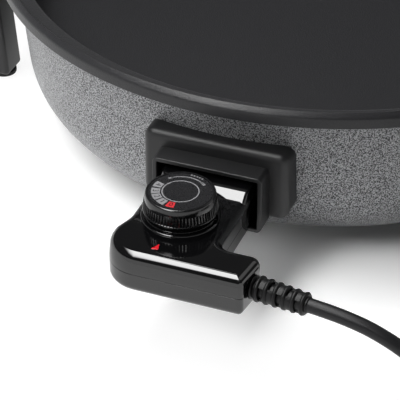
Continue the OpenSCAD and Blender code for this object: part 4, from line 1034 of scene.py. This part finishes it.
# strain relief: a short collar, then a tapered row of round ribs on webs that change sides
def bootTree(name, material):
    sizes = [("Ring", "Object"), ("Web", "Object"), ("Ribs", "Int"), ("Pitch", "Float"),
             ("Taper", "Float"), ("Place", "Vector"), ("Turn", "Vector")]
    tree, given = startTree(name, sizes)
    index = addNode(tree, "GeometryNodeInputIndex").outputs[0]
    share = addNode(tree, "ShaderNodeMath", {0: index, 1: given["Ribs"]}, operation="DIVIDE")
    loss = addNode(tree, "ShaderNodeMath", {0: given["Taper"], 1: -1.0}, operation="ADD")
    size = addNode(tree, "ShaderNodeMath", {0: share.outputs[0], 1: loss.outputs[0], 2: 1.0},
                   operation="MULTIPLY_ADD").outputs[0]
    scale = addNode(tree, "ShaderNodeCombineXYZ", {"X": size, "Y": size, "Z": 1.0})
    step = addNode(tree, "ShaderNodeCombineXYZ", {"Z": given["Pitch"]})
    both = addNode(tree, "GeometryNodeJoinGeometry")
    for form, offset, fewer, turnStep in (("Ring", 0.5, 0, 0.0), ("Web", 1.0, -1, math.pi / 2)):
        count = addNode(tree, "ShaderNodeMath", {0: given["Ribs"], 1: fewer}, operation="ADD")
        first = addNode(tree, "ShaderNodeMath", {0: given["Pitch"], 1: offset},
                        operation="MULTIPLY")
        start = addNode(tree, "ShaderNodeCombineXYZ", {"Z": first.outputs[0]})
        line = addNode(tree, "GeometryNodeMeshLine",
                       {"Count": count.outputs[0], "Start Location": start.outputs[0],
                        "Offset": step.outputs[0]})
        angle = addNode(tree, "ShaderNodeMath", {0: index, 1: turnStep}, operation="MULTIPLY")
        turn = addNode(tree, "ShaderNodeCombineXYZ", {"Z": angle.outputs[0]})
        shape = addNode(tree, "GeometryNodeObjectInfo",
                        {"Object": given[form], "As Instance": True})
        row = addNode(tree, "GeometryNodeInstanceOnPoints",
                      {"Points": line.outputs[0], "Instance": shape.outputs["Geometry"],
                       "Rotation": turn.outputs[0], "Scale": scale.outputs[0]})
        tree.links.new(row.outputs[0], both.inputs[0])
    place = addNode(tree, "GeometryNodeTransform",
                    {"Geometry": both.outputs[0], "Translation": given["Place"],
                     "Rotation": given["Turn"]})
    whole = addNode(tree, "GeometryNodeJoinGeometry", {0: place.outputs[0]})
    tree.links.new(given["Geometry"], whole.inputs[0])
    return endTree(tree, whole.outputs[0], material)


def makeBoot(b):
    spin = Matrix.Rotation(-b["yaw"], 4, "Z") @ Matrix.Rotation(math.pi / 2, 4, "Y")
    place, face = Matrix.Translation(b["base"]) @ spin, 0.05
    r, w, end, neck = b["baseR"], b["ribWidth"] / 2, b["length"], b["collarLength"]
    core, collar, root, edge = b["coreR"], b["collarR"], -b["rootLength"], b["edge"]
    profile = [(b["boreR"], root), (b["rootR"], root), (b["rootR"], face), (collar - edge, face)]
    profile += [(collar, face + edge), (collar, neck - b["collarEdge"])]
    profile += [(collar - b["collarEdge"], neck), (core, neck), (core, end - edge)]
    profile += [(core - edge, end), (b["boreR"], end)]
    body = turnedObject("strainRelief", profile, place, 64, closed=True)
    rib = [(b["ribBore"], -w)] + arcPoints(r - w, 0, w, -90, 90, 8) + [(b["ribBore"], w)]
    ring = turnedObject("bootRing", rib, Matrix(), 64, closed=True)
    pitch, half = (end - neck) / b["ribs"], b["webHalf"]
    bm = bmesh.new()
    for a in (0, 180):
        sector(bm, b["ribBore"], r - b["webDrop"], a - half, a + half, -pitch / 2, pitch / 2)
    web = plainObject("bootWeb", bm)
    start = Vector(b["base"]) + neck * bootAlong
    runTree(body, bootTree("bootRibs", bootPvc), {
        "Ring": ring, "Web": web, "Ribs": b["ribs"], "Pitch": pitch * mm,
        "Taper": b["tipR"] / b["baseR"], "Place": tuple(start * mm),
        "Turn": tuple(spin.to_euler())})
    for form in (ring, web):
        bpy.data.objects.remove(form)
    finishPiece(body, "control", ("strain_relief",), 40)


makeBoot(boot)


# screws: one cross-slotted form for each size, set on its places as (point, aim)
screwHead = [(1, 0), (1, 0.45), (0.93, 0.7), (0.7, 0.92), (0.4, 1), (0, 1)]   # shares of r and h
screwSlot = {"long": 0.62, "wide": 0.13, "floor": 0.45}
handlePlaces = [((s * handle["screwX"], panAxisY + t * handle["screwY"], handle["screwHeight"]),
                 (s, 0, 0)) for s, t in fourSides]
shellPlaces = [((x, y + panAxisY, controlLow + control["sinkDeep"]), (0, 0, -1))
               for x, y in control["posts"]]
socketPlaces = [((s * casting["padX"], panAxisY - casting["padY"], casting["padHeight"]),
                 (0, 1, 0)) for s in (-1, 1)]
screwKinds = [
    {"name": "handleScrews", "node": "handle_screws", "body": "pan_body", "headR": 4.5,
     "headH": 3.5, "r": 2.5, "length": 16, "at": handlePlaces},
    {"name": "shellScrews", "node": "shell_screws", "body": "control", "headR": 2.7,
     "headH": 2, "r": 1.4, "length": 14, "at": shellPlaces},
    {"name": "socketScrews", "node": "socket_screws", "body": "pan_body", "headR": 3.5,
     "headH": 2.6, "r": 2, "length": 18, "at": socketPlaces}]


def makeScrews(k, tree):
    r, h, shank, tip = k["headR"], k["headH"], k["r"], -k["length"]
    profile = [(0, tip), (shank, tip), (shank, 0)] + [(a * r, b * h) for a, b in screwHead]
    form = turnedObject("screwForm", profile, Matrix(), 40)
    long, wide = screwSlot["long"] * r, screwSlot["wide"] * r
    cut = slabRings(boxPoints(-long, -wide, long, wide, sharpest), screwSlot["floor"] * h, h + 1)
    for turn in (0, math.pi / 2):
        carve(form, [loftObject("screwSlot", cut, Matrix.Rotation(turn, 4, "Z"))])
    form.data.shade_smooth()
    mesh = bpy.data.meshes.new(k["name"])
    mesh.from_pydata([tuple(c * mm for c in point) for point, aim in k["at"]], [], [])
    aims = mesh.attributes.new("aim", "FLOAT_VECTOR", "POINT")
    aims.data.foreach_set("vector", [c for point, aim in k["at"] for c in aim])
    obj = bpy.data.objects.new(k["name"], mesh)
    scene.collection.objects.link(obj)
    runTree(obj, tree, {"Fastener": form})
    bpy.data.objects.remove(form)
    finishPiece(obj, k["body"], (k["node"],), 30)


screwSet = fastenerTree("screwSet", zincSteel)
for kind in screwKinds:
    makeScrews(kind, screwSet)


# plug: a moulded two-pin body with a bend relief and finger ribs; the shapes are (in, along)
plug = {"at": (228.2, -137, 18.8), "r": 18.5, "length": 38, "boot": 25, "bootR": (5.4, 7),
        "bootEdge": 0.5, "grooves": 4, "grooveAt": 4, "groovePitch": 4.5,
        "grooveShape": [(0, 0), (0.9, 0.5), (0.9, 1.5), (0, 2)], "waist": 0.9, "swellFrom": -1,
        "swellLong": 14, "rimShape": [(1.1, 20), (0.5, 22), (0, 24)],
        "faceShape": [(0, 1.2), (0.35, 0.35), (1.2, 0)], "earthAt": 8, "earthR": 2.5,
        "earthDeep": 16, "clipHalf": 3.55, "clipDeep": 0.65, "clipLength": 16, "ribs": 26,
        "ribSize": (1.6, 1.8, 9), "ribIn": 1.1, "ribsAt": 15.5}


def makePlug(p):
    place = Matrix.Translation(p["at"]) @ Matrix.Rotation(-math.pi / 2, 4, "Y")
    r, relief, (thin, thick) = p["r"], p["boot"], p["bootR"]
    face = relief + p["length"]
    profile = [(0, 0), (thin - p["bootEdge"], 0), (thin, p["bootEdge"])]
    for i in range(p["grooves"]):
        z = p["grooveAt"] + p["groovePitch"] * i
        at = thin + (thick - thin) * z / relief
        profile += [(at - deep, z + along) for deep, along in p["grooveShape"]]
    swell, first = r - p["waist"] - thick, relief + p["swellFrom"]
    profile += [(thick + swell * easeStep(t / 12), first + p["swellLong"] * t / 12)
                for t in range(13)]
    profile += [(r - x, relief + z) for x, z in p["rimShape"]]
    profile += [(r - x, face - z) for x, z in p["faceShape"]] + [(0, face)]
    obj = turnedObject("plugBody", profile, place, 96, bootPvc)
    cut = boxPoints(r - p["clipDeep"], -p["clipHalf"], r + 2, p["clipHalf"], 0.1)
    bm = bmesh.new()
    for s in (0, math.pi):
        rings = slabRings(cut, face - p["clipLength"], face + 1)
        loft(bm, rings, place @ Matrix.Rotation(s, 4, "Z"))
    ends = [place @ Vector((p["earthAt"], 0, z)) for z in (face - p["earthDeep"], face + 1)]
    rodMesh(bm, *ends, p["earthR"])
    carve(obj, [plainObject("plugCuts", bm)])
    finishPiece(obj, "control", ("plug_body",), 40)
    grip, mid = plainObject("plugGrip", bmesh.new()), place @ Vector((0, 0, relief + p["ribsAt"]))
    runTree(grip, ribTree("plugRibs", bootPvc), {
        "Ribs": p["ribs"], "Radius": (r - p["ribIn"]) * mm,
        "Rib Size": tuple(c * mm for c in p["ribSize"]), "Place": tuple(mid * mm),
        "Turn": (0, -math.pi / 2, 0)})
    finishPiece(grip, "control")
    return [obj, grip]


plugPieces = makePlug(plug)


# tie: a strap round one side of the coil, with its loose end on top
tie = {"outer": 50.43, "inner": 30.53, "low": 0.1, "high": 19.2, "t": 1, "half": 6, "corner": 2.6,
       "edge": 0.3, "tail": (3, 4), "tailCorner": 0.4}


def makeTie(s):
    place = Matrix.Translation((*cordShape["coilAt"], 0)) @ upright
    t, half, edge, low, high = s["t"], s["half"], s["edge"], s["low"], s["high"]
    left, right = -s["outer"], -s["inner"]
    band = boxPoints(left, low, right, high, s["corner"])
    hole = boxPoints(left + t, low + t, right - t, high - t, s["corner"] - t)
    bm = bmesh.new()
    bandMesh(bm, band, hole, -half, half, edge, edge, place)
    tail = boxPoints(left + s["tail"][0], high, right - s["tail"][1], high + t, s["tailCorner"])
    loft(bm, slabRings(tail, -half, half, edge, edge), place)
    obj = plainObject("tieStrap", bm, (tieTape,))
    return finishPiece(obj, "control", ("cord_tie",), 40)


plugPieces.append(makeTie(tie))


# CAD pieces that keep their shape take a finish
finishes = {
    "terminal_pins": nickel, "terminal_insulators": steatite, "earth_pin": nickel,
    "socket_plate": phenolic, "temperature_probe": stainless, "contact_block": melamine,
    "contact_tubes": brassStrip, "thermostat_frame": zincSteel, "fixed_contact": brassStrip,
    "moving_contact": brassStrip, "insulator_stack": steatite, "pilot_lamp": lampGlass,
    "inner_leads": glassSleeve, "cord_end": cordPvc, "cord_clamp": melamine,
    "clamp_screws": zincSteel, "knob_spindle": stainless, "plug_pins": nickel,
    "plug_earth_clips": nickel}
for name, finish in finishes.items():
    mesh = nodes[name].data
    mesh.materials.clear()
    mesh.materials.append(finish)

plugPieces += [nodes["plug_pins"], nodes["plug_earth_clips"]]
print("finishes set")


# studio, in metres: a pale floor and a low backdrop, a long overhead strip and two weak fills
studio = {"floor": 0.8, "floorSeen": 1.3, "nearR": 0.19, "farR": 0.27, "shadeX": 0.07,
          "whiteness": 0.9, "halfSize": 12, "wallR": 6, "wallHeight": 1.2, "world": 0.07}
softboxes = [
    {"name": "overheadStrip", "at": (-0.52, -0.5, 1.3), "aim": (-0.52, -0.5, 0), "size": (0.6, 2),
     "watts": 45, "fade": 0.6, "mirrored": True},
    {"name": "leftSoftbox", "at": (-1.4, -0.5, 0.5), "aim": (0, 0, 0.05), "size": (1, 0.8),
     "watts": 11, "fade": 0, "mirrored": False},
    {"name": "backSoftbox", "at": (0.8, 1.2, 1.6), "aim": (0, 0, 0.05), "size": (1, 1),
     "watts": 2, "fade": 0, "mirrored": True}]
white = (1, 1, 1, 1)


# 1 for rays that show a surface to the eye, straight or in a mirror or a glass
def seenRays(tree):
    path = addNode(tree, "ShaderNodeLightPath").outputs
    mirror = addNode(tree, "ShaderNodeMath",
                     {0: path["Is Camera Ray"], 1: path["Is Glossy Ray"]}, operation="MAXIMUM")
    return addNode(tree, "ShaderNodeMath",
                   {0: mirror.outputs[0], 1: path["Is Transmission Ray"]},
                   operation="MAXIMUM").outputs[0]


def stagePiece(name, bm, build):
    m = bpy.data.materials.new(name)
    m.use_nodes = True
    m.node_tree.nodes.clear()
    addNode(m.node_tree, "ShaderNodeOutputMaterial", {"Surface": build(m.node_tree)})
    plainObject(name, bm, (m,))


# White paper floor: lit near the object, so that it takes shadows, and plain white farther out
def floorShader(t):
    s, seen = studio, seenRays(t)
    grey, pale = (s["floor"],) * 3 + (1,), (s["floorSeen"],) * 3 + (1,)
    tone = addNode(t, "ShaderNodeMix", {0: seen, 6: grey, 7: pale}, data_type="RGBA")
    paper = addNode(t, "ShaderNodeBsdfDiffuse", {"Color": tone.outputs[2]})
    place = addNode(t, "ShaderNodeTexCoord").outputs["Object"]
    away = addNode(t, "ShaderNodeVectorMath", {0: place, 1: (s["shadeX"], panAxisY * mm, 0)},
                   operation="DISTANCE")
    fade = addNode(t, "ShaderNodeMapRange",
                   {"Value": away.outputs["Value"], "From Min": s["nearR"], "From Max": s["farR"],
                    "To Max": s["whiteness"]}, interpolation_type="SMOOTHSTEP")
    share = addNode(t, "ShaderNodeMath", {0: fade.outputs[0], 1: seen}, operation="MULTIPLY")
    glow = addNode(t, "ShaderNodeEmission", {"Color": white})
    return addNode(t, "ShaderNodeMixShader",
                   {0: share.outputs[0], 1: paper.outputs[0], 2: glow.outputs[0]}).outputs[0]


def wallShader(t):
    return addNode(t, "ShaderNodeEmission", {"Color": white, "Strength": seenRays(t)}).outputs[0]


def makeStage(s):
    bm = bmesh.new()
    bmesh.ops.create_grid(bm, x_segments=1, y_segments=1, size=s["halfSize"] / mm)
    stagePiece("studioFloor", bm, floorShader)
    bm = bmesh.new()
    lathe(bm, [(s["wallR"] / mm, 0), (s["wallR"] / mm, s["wallHeight"] / mm)], Matrix(), 64)
    stagePiece("studioBackdrop", bm, wallShader)
    world = bpy.data.worlds.new("studioWorld")
    world.use_nodes = True
    tree = world.node_tree
    tree.nodes.clear()
    fill = addNode(tree, "ShaderNodeBackground", {"Color": white, "Strength": s["world"]})
    addNode(tree, "ShaderNodeOutputWorld", {"Surface": fill.outputs[0]})
    scene.world = world


# A softbox's cloth may fade out over a share of its width, and it may stay out of the reflections
def addSoftbox(s):
    data = bpy.data.lights.new(s["name"], "AREA")
    data.shape, data.energy = "RECTANGLE", s["watts"]
    data.size, data.size_y = s["size"]
    if s["fade"]:
        data.use_nodes = True
        t = data.node_tree
        t.nodes.clear()
        spot = addNode(t, "ShaderNodeNewGeometry").outputs["Parametric"]
        across = addNode(t, "ShaderNodeSeparateXYZ", {0: spot}).outputs["X"]
        glow = addNode(t, "ShaderNodeMapRange", {"Value": across, "From Max": s["fade"]},
                       interpolation_type="SMOOTHSTEP").outputs[0]
        cloth = addNode(t, "ShaderNodeEmission", {"Color": white, "Strength": glow})
        addNode(t, "ShaderNodeOutputLight", {"Surface": cloth.outputs[0]})
    lamp = bpy.data.objects.new(s["name"], data)
    lamp.rotation_mode = "QUATERNION"
    lamp.location = s["at"]
    lamp.rotation_quaternion = (Vector(s["aim"]) - Vector(s["at"])).to_track_quat("-Z", "Y")
    lamp.visible_camera, lamp.visible_glossy = False, s["mirrored"]
    scene.collection.objects.link(lamp)


makeStage(studio)
for softbox in softboxes:
    addSoftbox(softbox)
print("studio lit")
